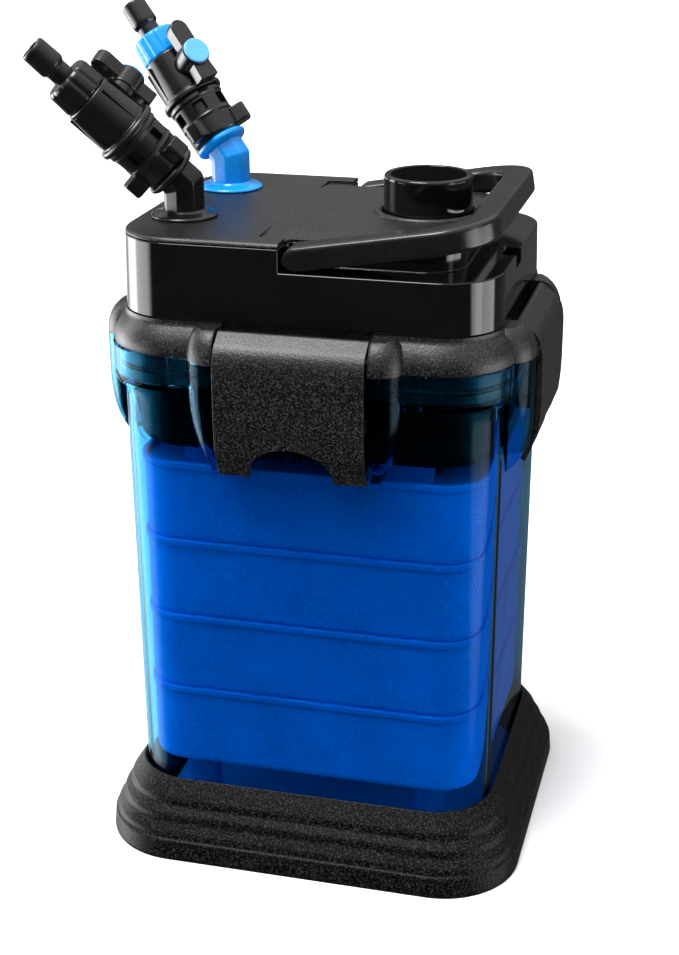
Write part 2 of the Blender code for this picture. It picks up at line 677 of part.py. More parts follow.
def make_handle():
    """A bail that lies flush in the recess. Its frame stands on the pivot and lifts it as carried."""
    x, z = HANDLE_PIVOT
    lift = Matrix.Rotation(math.radians(-HANDLE_RAISED), 4, "Y")
    frame = empty("handle_pivot", Matrix.Translation(Vector((x, 0, z)) * MM) @ lift)
    half_x, half_y, radius = grown(HEAD_PLAN, -0.9)
    end = HANDLE_HEIGHT / 2
    inner_x, inner_y = half_x - HANDLE_WIDTH, half_y - HANDLE_WIDTH
    inner_radius = radius - HANDLE_WIDTH + 4
    outline = [(-20.0, -half_y)]
    outline += arc((half_x - radius, -half_y + radius), radius, -90, 0, 6)
    outline += arc((half_x - radius, half_y - radius), radius, 0, 90, 6)
    outline += [(-20.0, half_y), (-20.0, inner_y)]
    outline += arc((inner_x - inner_radius, inner_y - inner_radius), inner_radius, 90, 0, 5)
    outline += arc((inner_x - inner_radius, -inner_y + inner_radius), inner_radius, 0, -90, 5)
    outline += [(-20.0, -inner_y)]
    handle = prism("carry_handle", outline, -25, 25, material="gloss_black", parent=frame)
    profile = [(150, -end), (150, end)] + arc((0, 0), end, 90, 270, 8)
    boolean(handle, prism("handle_profile", profile, -150, 150, axes="XZY", parent=frame), "INTERSECT")
    bevel(handle, 2.4, 2, angle=50)
    for sign in (-1, 1):
        bore = cylinder(f"handle_bore_{sign}", 3.4, (0, sign * (inner_y - 5), 0), (0, sign * (inner_y + 11), 0),
                        parent=frame, steps=16)
        boolean(handle, bore)
    for sign, word in ((-1, "front"), (1, "rear")):
        start, stop = (0, sign * 67.5, 0), (0, sign * (inner_y + 10), 0)
        cylinder(f"handle_pin_{word}", 3.0, start, stop, "steel", frame, steps=16)


# ---- priming button --------------------------------------------------------------------------

def make_button():
    r = BUTTON_RADIUS
    top = BUTTON_TOP_Z
    cap = [
        (0, top - 0.8), (23.3, top - 0.8), (23.8, top), (26.4, top), (r, top - 1.8), (r, 398.0), (r - 2.2, 398.0),
        (r - 2.2, top - 4.0), (0, top - 4.0),
    ]
    turned("prime_button", cap, "gloss_black", centre=BUTTON, steps=36)
    turned("button_disc", [(0, top), (22.9, top), (22.9, top - 0.5), (0, top - 0.5)], "gloss_black", centre=BUTTON, steps=36)
    floor = BARREL_FLOOR_Z
    barrel = [(31.0, 402.8), (31.0, floor - 3), (6.0, floor - 3), (6.0, floor), (28.6, floor), (28.6, 402.8)]
    turned("prime_barrel", barrel, "satin_black", centre=BUTTON, steps=ROUND_STEPS)
    rod = [(0, top - 4.4), (5.0, top - 4.4), (5.0, 357.0), (11.9, 357.0), (11.9, 351.0), (0, 351.0)]
    turned("prime_plunger", rod, "satin_black", centre=BUTTON, steps=16)
    tube = [(15.0, floor - 3.4), (15.0, 320.0), (12.3, 320.0), (12.3, floor - 3.4)]
    turned("prime_cylinder", tube, "satin_black", centre=BUTTON, steps=16)
    make_spring(floor + 1.0, top - 5.0)


def make_spring(low, high):
    wire, coil_radius, turns, per_turn = 0.8, 9.0, 5, 10
    curve = bpy.data.curves.new("prime_spring", "CURVE")
    curve.dimensions = "3D"
    curve.bevel_depth = wire * MM
    curve.bevel_resolution = 1
    curve.use_fill_caps = True
    line = curve.splines.new("POLY")
    count = turns * per_turn + 1
    line.points.add(count - 1)
    for index, point in enumerate(line.points):
        angle = 2 * math.pi * index / per_turn
        height = low + wire + (high - low - 2 * wire) * index / (count - 1)
        x = BUTTON[0] + coil_radius * math.cos(angle)
        y = BUTTON[1] + coil_radius * math.sin(angle)
        point.co = (x * MM, y * MM, height * MM, 1.0)
    link(bpy.data.objects.new("prime_spring", curve), "steel")


# ---- taps ------------------------------------------------------------------------------------

def bent_tube(name, tap, radius, sides, low, reach, parent, twist=0.0):
    """A tube that rises straight to the bend, at height 0, and then leans. The last ring lies at the
    reach along the leaning axis."""
    tilt = math.radians(tap["tilt"])
    flat = arc((0, 0), radius, 360 * twist / sides, 360 * (twist + sides - 1) / sides, sides - 1)
    lower = [Vector((x, y, low)) for x, y in flat]
    mitre = [Vector((x, y, -x * math.tan(tilt / 2))) for x, y in flat]
    lean = Matrix.Rotation(tilt, 3, "Y")
    upper = [lean @ Vector((x, y, reach)) for x, y in flat]
    return loft(name, [lower, mitre, upper], parent=parent)


def make_elbow(name, tap, colour):
    place = Matrix.Translation(Vector((*tap["place"], TAP_BEND_Z)) * MM)
    frame = empty(f"{name}_swivel", place @ Matrix.Rotation(math.radians(tap["azimuth"]), 4, "Z"))
    tilt_frame = empty(f"{name}_tilt", Matrix.Rotation(math.radians(tap["tilt"]), 4, "Y"), frame)
    axis_frame = empty(f"{name}_axis", Matrix.Rotation(math.radians(tap["roll"]), 4, "Z"), tilt_frame)
    seat = PLATE_TOP_Z + GAP - TAP_BEND_Z
    profile = [
        (12.0, seat + 4.0), (13.5, seat + 3.2), (19.6, seat + 1.6), (20.4, seat), (11.7, seat), (11.7, seat - 16),
        (10.4, seat - 16), (10.4, seat - 19), (11.7, seat - 19), (11.7, seat - 60), (8.0, seat - 60), (8.0, seat + 4.0),
    ]
    elbow = turned(f"{name}_elbow", profile, colour, frame)
    bend = bent_tube(f"{name}_bend", tap, 12.7, 8, seat + 1.0, 9.5, frame, twist=0.5)
    boolean(elbow, bend, "UNION")
    ring = [
        (10.4, 24.0), (10.4, 13.0), (15.6, 13.0), (17.2, 11.6), (17.2, 9.8), (15.6, 8.2), (11.5, 7.0), (7.9, 7.0),
        (7.9, 24.0),
    ]
    boolean(elbow, turned(f"{name}_elbow_ring", ring, parent=axis_frame), "UNION")
    boolean(elbow, bent_tube(f"{name}_bore", tap, 7.8, 16, seat - 70, 40.0, frame))
    seal = [(12.1, seat - 16.5), (12.1, seat - 18.5), (10.7, seat - 18.5), (10.7, seat - 16.5)]
    turned(f"{name}_elbow_seal", seal, "rubber", frame, steps=16)
    return axis_frame


def make_quick_collar(name, tap, frame):
    """The ring that locks the tap on its elbow: three lugs to turn it and six windows."""
    profile = [
        (18.4, 43.4), (18.6, 40.5), (17.6, 26.0), (16.6, 15.0), (15.4, 13.4), (11.0, 13.4), (11.0, 16.2), (14.3, 17.6),
        (14.3, 43.4),
    ]
    collar = turned(f"{name}_lock_collar", profile, "satin_black", frame)
    lug_outline = [(15.4, -6.5), (23.4, -6.0), (25.4, -3.8), (25.4, 3.8), (23.4, 6.0), (15.4, 6.5)]
    for index, angle in enumerate(tap["lugs"]):
        lug = prism(f"{name}_lug_{index}", lug_outline, 15.0, 26.0, parent=frame)
        lug.matrix_basis = Matrix.Rotation(math.radians(angle), 4, "Z")
        boolean(collar, lug, "UNION")
    windows = []
    for index in range(6):
        window = box(f"{name}_window_{index}", (12, -4.2, 30.0), (24, 4.2, 38.0))
        window.matrix_basis = Matrix.Rotation(math.radians(60 * index + 30), 4, "Z")
        windows.append(window)
    boolean(collar, joined(f"{name}_windows", windows, parent=frame))


def make_valve(name, frame):
    profile = [
        (12.4, 85.0), (12.4, 76.4), (15.4, 76.4), (15.9, 75.6), (17.4, 48.0), (20.0, 47.4), (20.6, 46.2), (20.6, 44.6),
        (20.2, 43.8), (13.9, 43.8), (13.9, 22.4), (11.4, 22.4), (11.4, 85.0),
    ]
    body = turned(f"{name}_valve_body", profile, "satin_black", frame)
    boss = cylinder(f"{name}_stem_boss", 8.6, (12.6, 0, LEVER_HUB), (19.8, 0, LEVER_HUB), parent=frame)
    boolean(body, boss, "UNION")
    stem_bore = cylinder(f"{name}_stem_bore", 4.5, (8.0, 0, LEVER_HUB), (24, 0, LEVER_HUB), parent=frame, steps=16)
    boolean(body, stem_bore)

    edit = bmesh.new()
    place = Matrix.Translation((0, 0, LEVER_HUB * MM))
    bmesh.ops.create_uvsphere(edit, u_segments=16, v_segments=10, radius=10.8 * MM, matrix=place)
    ball = solid(f"{name}_ball", edit, "ceramic", frame)
    port = cylinder(f"{name}_ball_port", 6.5, (0, 0, LEVER_HUB - 20), (0, 0, LEVER_HUB + 20), parent=frame, steps=16)
    boolean(ball, port)


def make_lever(name, frame):
    """A lever in line with the flow, its hub over the ball, with a coloured cap."""
    z = LEVER_HUB
    half = 6.0
    outline = [(-half, z - 18.0), (half, z - 18.0), (half, z + 18.0)]
    outline += arc((0, z + 18.5), half, 0, 180, 6)
    outline += [(-half, z + 18.0)]
    lever = prism(f"{name}_lever", outline, 21.6, 31.0, axes="YZX", material="satin_black", parent=frame)
    hub = cylinder(f"{name}_lever_hub", 9.2, (20.2, 0, z), (32.6, 0, z), parent=frame)
    boolean(lever, hub, "UNION")
    boolean(lever, cylinder(f"{name}_stem", 4.1, (11.2, 0, z), (26, 0, z), parent=frame, steps=16), "UNION")
    bevel(lever, 0.8, 1, angle=60)
    cylinder(f"{name}_lever_cap", 8.4, (32.9, 0, z), (34.1, 0, z), "cap_blue", frame)


def make_hose_end(name, frame, nut_colour):
    sides = 10
    nut_rings = []
    for height, radius in ((76.7, 15.6), (91.4, 15.0), (93.4, 13.0)):
        nut_rings.append([Vector((x, y, height)) for x, y in arc((0, 0), radius, 0, 360 - 360 / sides, sides - 1)])
    nut = loft(f"{name}_hose_nut", nut_rings, nut_colour, frame)
    bore = [(0, 96.0), (7.4, 96.0), (7.4, 92.2), (12.9, 89.8), (12.9, 74.0), (0, 74.0)]
    boolean(nut, turned(f"{name}_nut_bore", bore, parent=frame, steps=16))
    tail = [
        (7.5, 118.5), (8.1, 117.9), (8.5, 102.6), (8.2, 101.4), (6.8, 100.6), (6.8, 90.0), (11.0, 89.2), (11.0, 86.2),
        (5.4, 86.2), (5.4, 118.5),
    ]
    turned(f"{name}_hose_tail", tail, "satin_black", frame)


def make_tap(name, elbow_colour, nut_colour):
    tap = TAPS[name]
    frame = make_elbow(name, tap, elbow_colour)
    make_quick_collar(name, tap, frame)
    make_valve(name, frame)
    make_lever(name, frame)
    make_hose_end(name, frame, nut_colour)


def main():
    make_foot()
    make_canister()
    baskets = [make_basket(index) for index in range(len(BASKET_TOPS))]
    make_basket_legs(baskets[0])
    make_basket_lid()
    make_media()
    make_rim()
    make_housing()
    make_top_plate()
    make_gland()
    make_sockets()
    make_motor()
    for side in SIDES:
        make_clamp(side)
    make_handle()
    make_button()
    make_tap("outlet", "satin_black", "satin_black")
    make_tap("inlet", "tap_blue", "tap_blue")


main()
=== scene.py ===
"""Looks of the aquarium canister filter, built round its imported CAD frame.

Lengths are in millimetres unless a name says otherwise. The origin is the centre of the foot's
underside, +Z is up, -Y is the front and the hose taps stand on the -X side of the head.
"""

import json
import math

import bmesh
import bpy
from mathutils import Matrix, Vector, noise


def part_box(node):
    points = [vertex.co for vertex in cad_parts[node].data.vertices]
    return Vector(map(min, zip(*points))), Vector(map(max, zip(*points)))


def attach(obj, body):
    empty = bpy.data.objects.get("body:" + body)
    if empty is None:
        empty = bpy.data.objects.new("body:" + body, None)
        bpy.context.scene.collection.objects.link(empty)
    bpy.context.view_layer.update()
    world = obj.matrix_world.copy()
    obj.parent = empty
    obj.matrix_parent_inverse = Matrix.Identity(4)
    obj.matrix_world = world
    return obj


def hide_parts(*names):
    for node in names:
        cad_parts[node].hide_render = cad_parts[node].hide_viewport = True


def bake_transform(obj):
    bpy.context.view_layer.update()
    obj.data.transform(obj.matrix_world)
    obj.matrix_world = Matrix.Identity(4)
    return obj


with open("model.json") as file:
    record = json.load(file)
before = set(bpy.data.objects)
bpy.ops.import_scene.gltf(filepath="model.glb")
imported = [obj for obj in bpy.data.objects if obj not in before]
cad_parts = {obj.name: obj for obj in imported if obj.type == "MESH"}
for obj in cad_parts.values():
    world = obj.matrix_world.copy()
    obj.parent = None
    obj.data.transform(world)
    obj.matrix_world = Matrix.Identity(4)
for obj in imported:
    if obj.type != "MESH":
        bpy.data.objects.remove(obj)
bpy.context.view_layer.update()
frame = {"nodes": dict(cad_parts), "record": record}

MM = 0.001
CORNER_STEPS = 14
ROUND_STEPS = 72
SHARP_ANGLE = math.radians(34)
MAIN_BODY = "canister_and_head"

# Plans are (half width along X, half depth along Y, corner radius).
CANISTER_TOP = (117.0, 100.0, 36.0)
CANISTER_FOOT = (115.0, 98.0, 36.0)
CANISTER_WALL = 3.0
CANISTER_BASE_Z = 5.3
COLLAR_PLAN = (123.5, 106.5, 42.5)
COLLAR_LOW_Z = 312.5
COLLAR_TOP_Z = 337.2

FOOT_POCKET = (116.0, 99.0, 37.0)
FOOT_OUTER = (136.8, 122.1, 50.6)
# Share of the way from the pocket to the outer edge, height, and how far the corner is rounded.
FOOT_STEPS = [
    (0.0, 5.0, 0.5), (0.0, 48.0, 1.2), (0.07, 49.0, 1.6), (0.445, 37.4, 2.6), (0.462, 33.6, 1.2),
    (0.66, 28.3, 2.4), (0.675, 24.3, 1.2), (0.875, 18.0, 2.6), (0.888, 14.6, 1.0), (0.955, 13.4, 2.6),
    (1.0, 1.6, 1.4), (0.985, 0.0, 0.5),
]

RIM_Z = 337.5
RIM_TOP_Z = 357.5
RIM_SHOULDER = [
    (0.5, 357.5), (0.8, 354.8), (2.6, 352.6), (5.2, 349.0), (7.2, 345.0), (8.2, 341.0), (8.3, 337.5),
]
RIM_FLOOR_Z = 341.5
PLUG_LOW_Z = 320.0
SEAL_Z = 327.0
SEAL_SIZE = 3.0

HEAD_PLAN = (115.5, 96.7, 37.0)
HEAD_LOW_Z = 357.8
LEDGE_Z = 389.5
HOUSING_TOP_Z = 403.2
PLATE_LOW_Z = 403.5
PLATE_TOP_Z = 406.5
INNER_BLOCK = (91.0, 75.0, 22.0)
RECESS_START_X = -11.0

# The four sides carry the same clamp and fins: turn about Z, and distance of the canister's wall.
SIDES = {"front": (-90, 100.0), "right": (0, 117.0), "back": (90, 100.0), "left": (180, 117.0)}
CLAMP_HALF_WIDTH = 45.0
CLAMP_REACH = 19.3
FIN_REACH = 16.5
# The pin's distance from the wall and its height.
CLAMP_PIN = (9.0, 344.5)
CLAMP_PIN_RADIUS = 1.6
CLAMP_PIN_PLAY = 0.3
# Distance of a fin's near side from the clamp's middle, and its width.
FIN_NEAR = 46.0
FIN_WIDTH = {"front": 19.8, "back": 19.8, "right": 25.0, "left": 25.0}
FIN_TIP_Z = 262.0

# The handle turns about this (x, z), and stands raised by some degrees at rest.
HANDLE_PIVOT = (-1.5, 397.5)
HANDLE_HEIGHT = 14.6
HANDLE_WIDTH = 18.5
HANDLE_RAISED = 9.5

BUTTON = (54.8, 8.0)
BUTTON_RADIUS = 27.2
BUTTON_TOP_Z = 429.6

# Where each tap stands, which way it leans, and the angles of its lock ring's lugs, in degrees.
TAPS = {
    "outlet": {
        "place": (-86.0, -39.5), "azimuth": 205.0, "tilt": 46.0, "roll": 219.0, "lugs": (150, 270, 30)},
    "inlet": {
        "place": (-83.5, 44.5), "azimuth": 162.0, "tilt": 39.5, "roll": 159.0, "lugs": (60, 180, 300)},
}
TAP_SOCKET_RADIUS = 15.8
TAP_BEND_Z = 426.5
LEVER_HUB = 62.0
MOTOR = (-30.0, -15.0)
MOTOR_BAY_PLAN = (110.0, 93.0, 33.0)
MOTOR_BAY_LOW_Z = 276.0
GLAND = (60.0, 373.0)

BASKET_PLAN = (107.5, 90.5, 26.0)
BASKET_TOPS = [111.5, 163.0, 214.5, 266.0]
BASKET_LOW_Z = 58.0
BASKET_WALL = 2.0
BASKET_GAP = 0.3
LEG_PLACES = [(-76, -66), (-76, 66), (76, -66), (76, 66)]


# ---- materials -------------------------------------------------------------------------------

WEAR_SCALE = 30.0
DULLER_SHARE = 0.82
CLEAR_IOR = 1.13


def node_graph(name):
    material = bpy.data.materials.new(name)
    material.use_nodes = True
    tree = material.node_tree
    shader = tree.nodes["Principled BSDF"]
    place = tree.nodes.new("ShaderNodeTexCoord").outputs["Object"]
    return material, tree, shader, place


def noise_node(tree, place, scale, detail=2.0, roughness=0.5):
    node = tree.nodes.new("ShaderNodeTexNoise")
    node.inputs["Scale"].default_value = scale
    node.inputs["Detail"].default_value = detail
    node.inputs["Roughness"].default_value = roughness
    tree.links.new(place, node.inputs["Vector"])
    return node.outputs["Fac"]


def ranged(tree, value, low, high, to_low, to_high):
    node = tree.nodes.new("ShaderNodeMapRange")
    tree.links.new(value, node.inputs["Value"])
    for key, number in (("From Min", low), ("From Max", high), ("To Min", to_low), ("To Max", to_high)):
        node.inputs[key].default_value = number
    return node.outputs["Result"]


def mixed_colour(tree, share, first, second):
    node = tree.nodes.new("ShaderNodeMix")
    node.data_type = "RGBA"
    tree.links.new(share, node.inputs["Factor"])
    for socket, colour in (("A", first), ("B", second)):
        target = [s for s in node.inputs if s.name == socket and s.type == "RGBA"][0]
        if isinstance(colour, tuple):
            target.default_value = (*colour, 1.0)
        else:
            tree.links.new(colour, target)
    return [s for s in node.outputs if s.type == "RGBA"][0]


def bumped(tree, shader, height, strength, distance):
    node = tree.nodes.new("ShaderNodeBump")
    node.inputs["Strength"].default_value = strength
    node.inputs["Distance"].default_value = distance
    tree.links.new(height, node.inputs["Height"])
    tree.links.new(node.outputs["Normal"], shader.inputs["Normal"])


def plastic(name, dark, light, rough, grain, depth, specular=0.5, speck=(0.5, 0.7), metallic=0.0,
            strength=0.6):
    """Moulded plastic: a fine grain in colour and relief, over a slow change of tone and gloss."""
    material, tree, shader, place = node_graph(name)
    fine = noise_node(tree, place, grain, 2.0, 0.6)
    slow = noise_node(tree, place, WEAR_SCALE, 3.0)
    duller = tuple(channel * DULLER_SHARE for channel in dark)
    tone = mixed_colour(tree, ranged(tree, slow, 0.3, 0.7, 0.0, 1.0), duller, dark)
    share = ranged(tree, fine, speck[0], speck[1], 0.0, 1.0)
    tree.links.new(mixed_colour(tree, share, tone, light), shader.inputs["Base Color"])
    gloss = ranged(tree, slow, 0.3, 0.7, rough[0], rough[1])
    tree.links.new(gloss, shader.inputs["Roughness"])
    bumped(tree, shader, fine, strength, depth)
    shader.inputs["Specular IOR Level"].default_value = specular
    shader.inputs["Metallic"].default_value = metallic
    return material


def clear_plastic(name, colour, rough):
    """Clear tinted plastic with the faint waves of a moulded wall."""
    material, tree, shader, place = node_graph(name)
    waves = noise_node(tree, place, 14.0, 1.0)
    dust = noise_node(tree, place, 900.0, 2.0)
    thick = noise_node(tree, place, 9.0, 1.0)
    share = ranged(tree, thick, 0.3, 0.7, 0.0, 1.0)
    deeper = tuple(channel * 0.94 for channel in colour)
    tree.links.new(mixed_colour(tree, share, deeper, colour), shader.inputs["Base Color"])
    tree.links.new(ranged(tree, dust, 0.55, 0.75, rough, rough + 0.05), shader.inputs["Roughness"])
    bumped(tree, shader, waves, 0.35, 0.0012)
    shader.inputs["Transmission Weight"].default_value = 1.0
    shader.inputs["IOR"].default_value = CLEAR_IOR
    return material


def soft(name, dark, light, scale, depth, fuzz):
    """Foam, floss or bagged media."""
    material, tree, shader, place = node_graph(name)
    cells = tree.nodes.new("ShaderNodeTexVoronoi")
    cells.inputs["Scale"].default_value = scale
    tree.links.new(place, cells.inputs["Vector"])
    fine = noise_node(tree, place, scale * 2.5, 3.0)
    share = ranged(tree, cells.outputs["Distance"], 0.1, 0.7, 0.0, 1.0)
    tree.links.new(mixed_colour(tree, share, light, dark), shader.inputs["Base Color"])
    tree.links.new(ranged(tree, fine, 0.3, 0.7, 0.85, 0.98), shader.inputs["Roughness"])
    bumped(tree, shader, cells.outputs["Distance"], 0.8, depth)
    shader.inputs["Sheen Weight"].default_value = fuzz
    shader.inputs["Specular IOR Level"].default_value = 0.2
    return material


FINISHES = {
    # The record's material slots.
    "textured_black": plastic(
        "textured_black", (0.0014, 0.0014, 0.0016), (0.034, 0.034, 0.036), (0.34, 0.42), 950.0, 0.00028,
        specular=0.45, speck=(0.49, 0.66), strength=0.8),
    "gloss_black": plastic(
        "gloss_black", (0.0035, 0.0035, 0.0040), (0.0045, 0.0045, 0.0050), (0.07, 0.11), 300.0, 0.00002,
        specular=0.5, strength=0.15),
    "satin_black": plastic(
        "satin_black", (0.0045, 0.0045, 0.0052), (0.008, 0.008, 0.009), (0.20, 0.28), 700.0, 0.00006,
        specular=0.5, strength=0.3),
    "clear_blue": clear_plastic("clear_blue", (0.17, 0.68, 0.96), 0.02),
    "basket_blue": plastic(
        "basket_blue", (0.0, 0.26, 0.80), (0.0, 0.29, 0.86), (0.35, 0.42), 500.0, 0.00005,
        specular=0.05, strength=0.3),
    "tap_blue": plastic(
        "tap_blue", (0.0, 0.29, 0.88), (0.0, 0.32, 0.94), (0.16, 0.24), 500.0, 0.00004, strength=0.3),
    "cap_blue": plastic(
        "cap_blue", (0.10, 0.42, 0.90), (0.13, 0.47, 0.95), (0.25, 0.35), 500.0, 0.00004, strength=0.3),
    "rubber": plastic(
        "rubber", (0.014, 0.014, 0.014), (0.025, 0.025, 0.025), (0.55, 0.7), 900.0, 0.0001, specular=0.3),
    "ceramic": plastic(
        "ceramic", (0.72, 0.71, 0.68), (0.80, 0.79, 0.76), (0.2, 0.3), 400.0, 0.00003, strength=0.2),
    "magnet": plastic(
        "magnet", (0.03, 0.03, 0.033), (0.05, 0.05, 0.055), (0.4, 0.5), 700.0, 0.0001),
    "steel": plastic(
        "steel", (0.50, 0.50, 0.52), (0.62, 0.62, 0.64), (0.2, 0.32), 600.0, 0.00002, metallic=1.0,
        strength=0.2),
    "foam": soft("foam", (0.02, 0.025, 0.03), (0.09, 0.10, 0.12), 420.0, 0.002, 0.2),
    "floss": soft("floss", (0.62, 0.66, 0.68), (0.85, 0.88, 0.90), 260.0, 0.002, 0.6),
    "bio_media": soft("bio_media", (0.28, 0.24, 0.18), (0.60, 0.54, 0.44), 120.0, 0.004, 0.1),
}
# Finishes of single pieces, which take the place of the named slot's finish where they are used.
# The foot's finish is textured_black made darker and less glossy: painted shade for the dimmer light the
# foot gets.
FINISHES["foot_painted_shade_black"] = plastic(
    "foot_painted_shade_black", (0.0008, 0.0008, 0.0010), (0.026, 0.026, 0.027), (0.34, 0.42), 900.0, 0.00030,
    specular=0.10, speck=(0.50, 0.66), strength=0.8)
FINISHES["handle_black"] = plastic(
    "handle_black", (0.0050, 0.0050, 0.0056), (0.009, 0.009, 0.010), (0.18, 0.27), 800.0, 0.00005,
    strength=0.3)
FINISHES["floor_blue"] = plastic(
    "floor_blue", (0.0, 0.35, 0.80), (0.0, 0.38, 0.86), (0.35, 0.45), 500.0, 0.00005,
    specular=0.2, strength=0.3)
FINISHES["bay_black"] = plastic(
    "bay_black", (0.0030, 0.0032, 0.0036), (0.006, 0.007, 0.008), (0.40, 0.50), 600.0, 0.0001,
    specular=0.06)
FINISHES["badge_black"] = plastic(
    "badge_black", (0.0030, 0.0030, 0.0034), (0.004, 0.004, 0.0045), (0.30, 0.40), 400.0, 0.00003,
    specular=0.0, strength=0.2)


# ---- mesh helpers ----------------------------------------------------------------------------

def turn(degrees, axis="Z"):
    return Matrix.Rotation(math.radians(degrees), 4, axis)


def shift(x, y, z):
    return Matrix.Translation(Vector((x, y, z)) * MM)


def solid(name, edit, matrix=None):
    """A new object from a bmesh, with its faces turned outwards."""
    bmesh.ops.recalc_face_normals(edit, faces=edit.faces)
    mesh = bpy.data.meshes.new(name)
    edit.to_mesh(mesh)
    edit.free()
    if matrix is not None:
        mesh.transform(matrix)
    obj = bpy.data.objects.new(name, mesh)
    bpy.context.scene.collection.objects.link(obj)
    return obj


def applied(obj):
    """Turns an object's modifiers into its mesh."""
    bpy.context.view_layer.update()
    graph = bpy.context.evaluated_depsgraph_get()
    mesh = bpy.data.meshes.new_from_object(obj.evaluated_get(graph), depsgraph=graph)
    obj.modifiers.clear()
    obj.data = mesh
    return obj


def combined(obj, others, operation="DIFFERENCE"):
    for other in others:
        modifier = obj.modifiers.new(operation.lower(), "BOOLEAN")
        modifier.operation = operation
        modifier.solver = "EXACT"
        modifier.object = other
    applied(obj)
    for other in others:
        bpy.data.objects.remove(other)
    return obj


def bevelled(obj, width, segments=3, angle=35):
    modifier = obj.modifiers.new("bevel", "BEVEL")
    modifier.width = width * MM
    modifier.segments = segments
    modifier.limit_method = "ANGLE"
    modifier.angle_limit = math.radians(angle)
    modifier.harden_normals = False
    return applied(obj)


def joined(name, objects):
    edit = bmesh.new()
    for obj in objects:
        edit.from_mesh(obj.data)
        bpy.data.objects.remove(obj)
    return solid(name, edit)


def shaded(obj, weighted=True):
    """Smooth shading that keeps flat faces flat beside their rounded edges."""
    obj.data.shade_smooth()
    obj.data.set_sharp_from_angle(angle=SHARP_ANGLE)
    if weighted:
        modifier = obj.modifiers.new("weighted", "WEIGHTED_NORMAL")
        modifier.keep_sharp = True
        modifier.weight = 70
        applied(obj)
    return obj


def finished(obj, body, slot, replaced=(), weighted=True, finish=None):
    """The last step of every piece: its shading, finish, body and the CAD nodes it stands for. A piece
    without a body is left without a parent."""
    shaded(obj, weighted)
    obj.data.materials.clear()
    obj.data.materials.append(FINISHES[finish or slot])
    if body:
        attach(obj, body)
    if replaced:
        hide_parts(*replaced)
    return obj


def grown(plan, offset):
    return tuple(value + offset for value in plan)


def mixed(first, second, share):
    return tuple(a + (b - a) * share for a, b in zip(first, second))


def softened(points, radius, steps=3, closed=False):
    """Rounds the corners of a flat line; radius is one number, or one for each point."""
    result = []
    count = len(points)
    for index, point in enumerate(points):
        here = Vector(point)
        if not closed and index in (0, count - 1):
            result.append(here)
            continue
        back = Vector(points[index - 1]) - here
        ahead = Vector(points[(index + 1) % count]) - here
        size = radius[index] if isinstance(radius, (list, tuple)) else radius
        size = min(size, back.length * 0.45, ahead.length * 0.45)
        if size < 0.02 or abs(back.angle(ahead) - math.pi) < 0.05:
            result.append(here)
            continue
        start, end = here + back.normalized() * size, here + ahead.normalized() * size
        for step in range(steps + 1):
            t = step / steps
            result.append(start * (1 - t) ** 2 + here * 2 * t * (1 - t) + end * t * t)
    return result


def arc(centre, radius, start, end, steps):
    """Points of a flat arc, angles in degrees."""
    points = []
    for step in range(steps + 1):
        angle = math.radians(start + (end - start) * step / steps)
        points.append((centre[0] + radius * math.cos(angle), centre[1] + radius * math.sin(angle)))
    return points


def rounded_ring(plan, height, steps=CORNER_STEPS):
    """The points of a rounded rectangle at one height, anticlockwise from +X."""
    half_x, half_y, radius = plan
    points = []
    for quarter in range(4):
        centre_x = (half_x - radius) * (1 if quarter in (0, 3) else -1)
        centre_y = (half_y - radius) * (1 if quarter in (0, 1) else -1)
        for x, y in arc((centre_x, centre_y), radius, 90 * quarter, 90 * quarter + 90, steps):
            points.append(Vector((x, y, height)))
    return points


def loft(name, rings, matrix=None, closed=False):
    """Skins rings of equally many points. Its ends are capped, or joined if it closes on itself."""
    edit = bmesh.new()
    rows = [[edit.verts.new(point * MM) for point in ring] for ring in rings]
    pairs = list(zip(rows, rows[1:]))
    if closed:
        pairs.append((rows[-1], rows[0]))
    else:
        edit.faces.new(rows[0])
        edit.faces.new(rows[-1])
    for low, high in pairs:
        for i in range(len(low)):
            j = (i + 1) % len(low)
            edit.faces.new((low[i], low[j], high[j], high[i]))
    return solid(name, edit, matrix)


def plan_loft(name, plan, profile, radius=0.0, closed=False, steps=3):
    """A rounded rectangle that grows and shrinks along a profile of (offset, height)."""
    if radius:
        profile = softened(profile, radius, steps, closed)
    return loft(name, [rounded_ring(grown(plan, out), z) for out, z in profile], closed=closed)


def turned(name, profile, radius=0.0, steps=ROUND_STEPS, matrix=None):
    """A profile of (radius, height) turned about Z. It closes on the axis, or on itself as a tube."""
    on_axis = profile[0][0] == 0
    if radius:
        profile = softened(profile, radius, 3, closed=not on_axis)
    edit = bmesh.new()
    rows = []
    for out, z in profile:
        if out < 1e-6:
            rows.append([edit.verts.new((0, 0, z * MM))])
            continue
        ring = arc((0, 0), out, 0, 360 - 360 / steps, steps - 1)
        rows.append([edit.verts.new((x * MM, y * MM, z * MM)) for x, y in ring])
    pairs = list(zip(rows, rows[1:]))
    if not on_axis:
        pairs.append((rows[-1], rows[0]))
    for low, high in pairs:
        for i in range(steps):
            j = (i + 1) % steps
            face = [low[i % len(low)], low[j % len(low)], high[j % len(high)], high[i % len(high)]]
            face = list(dict.fromkeys(face))
            if len(face) > 2:
                edit.faces.new(face)
    return solid(name, edit, matrix)


def cylinder(name, radius, start, end, matrix=None, steps=ROUND_STEPS):
    """A round bar from one point to another."""
    start, end = Vector(start), Vector(end)
    along = end - start
    edit = bmesh.new()
    upright = along.to_track_quat("Z", "Y").to_matrix().to_4x4()
    bmesh.ops.create_cone(
        edit, cap_ends=True, segments=steps, radius1=radius * MM, radius2=radius * MM,
        depth=along.length * MM, matrix=Matrix.Translation((start + end) / 2 * MM) @ upright)
    return solid(name, edit, matrix)


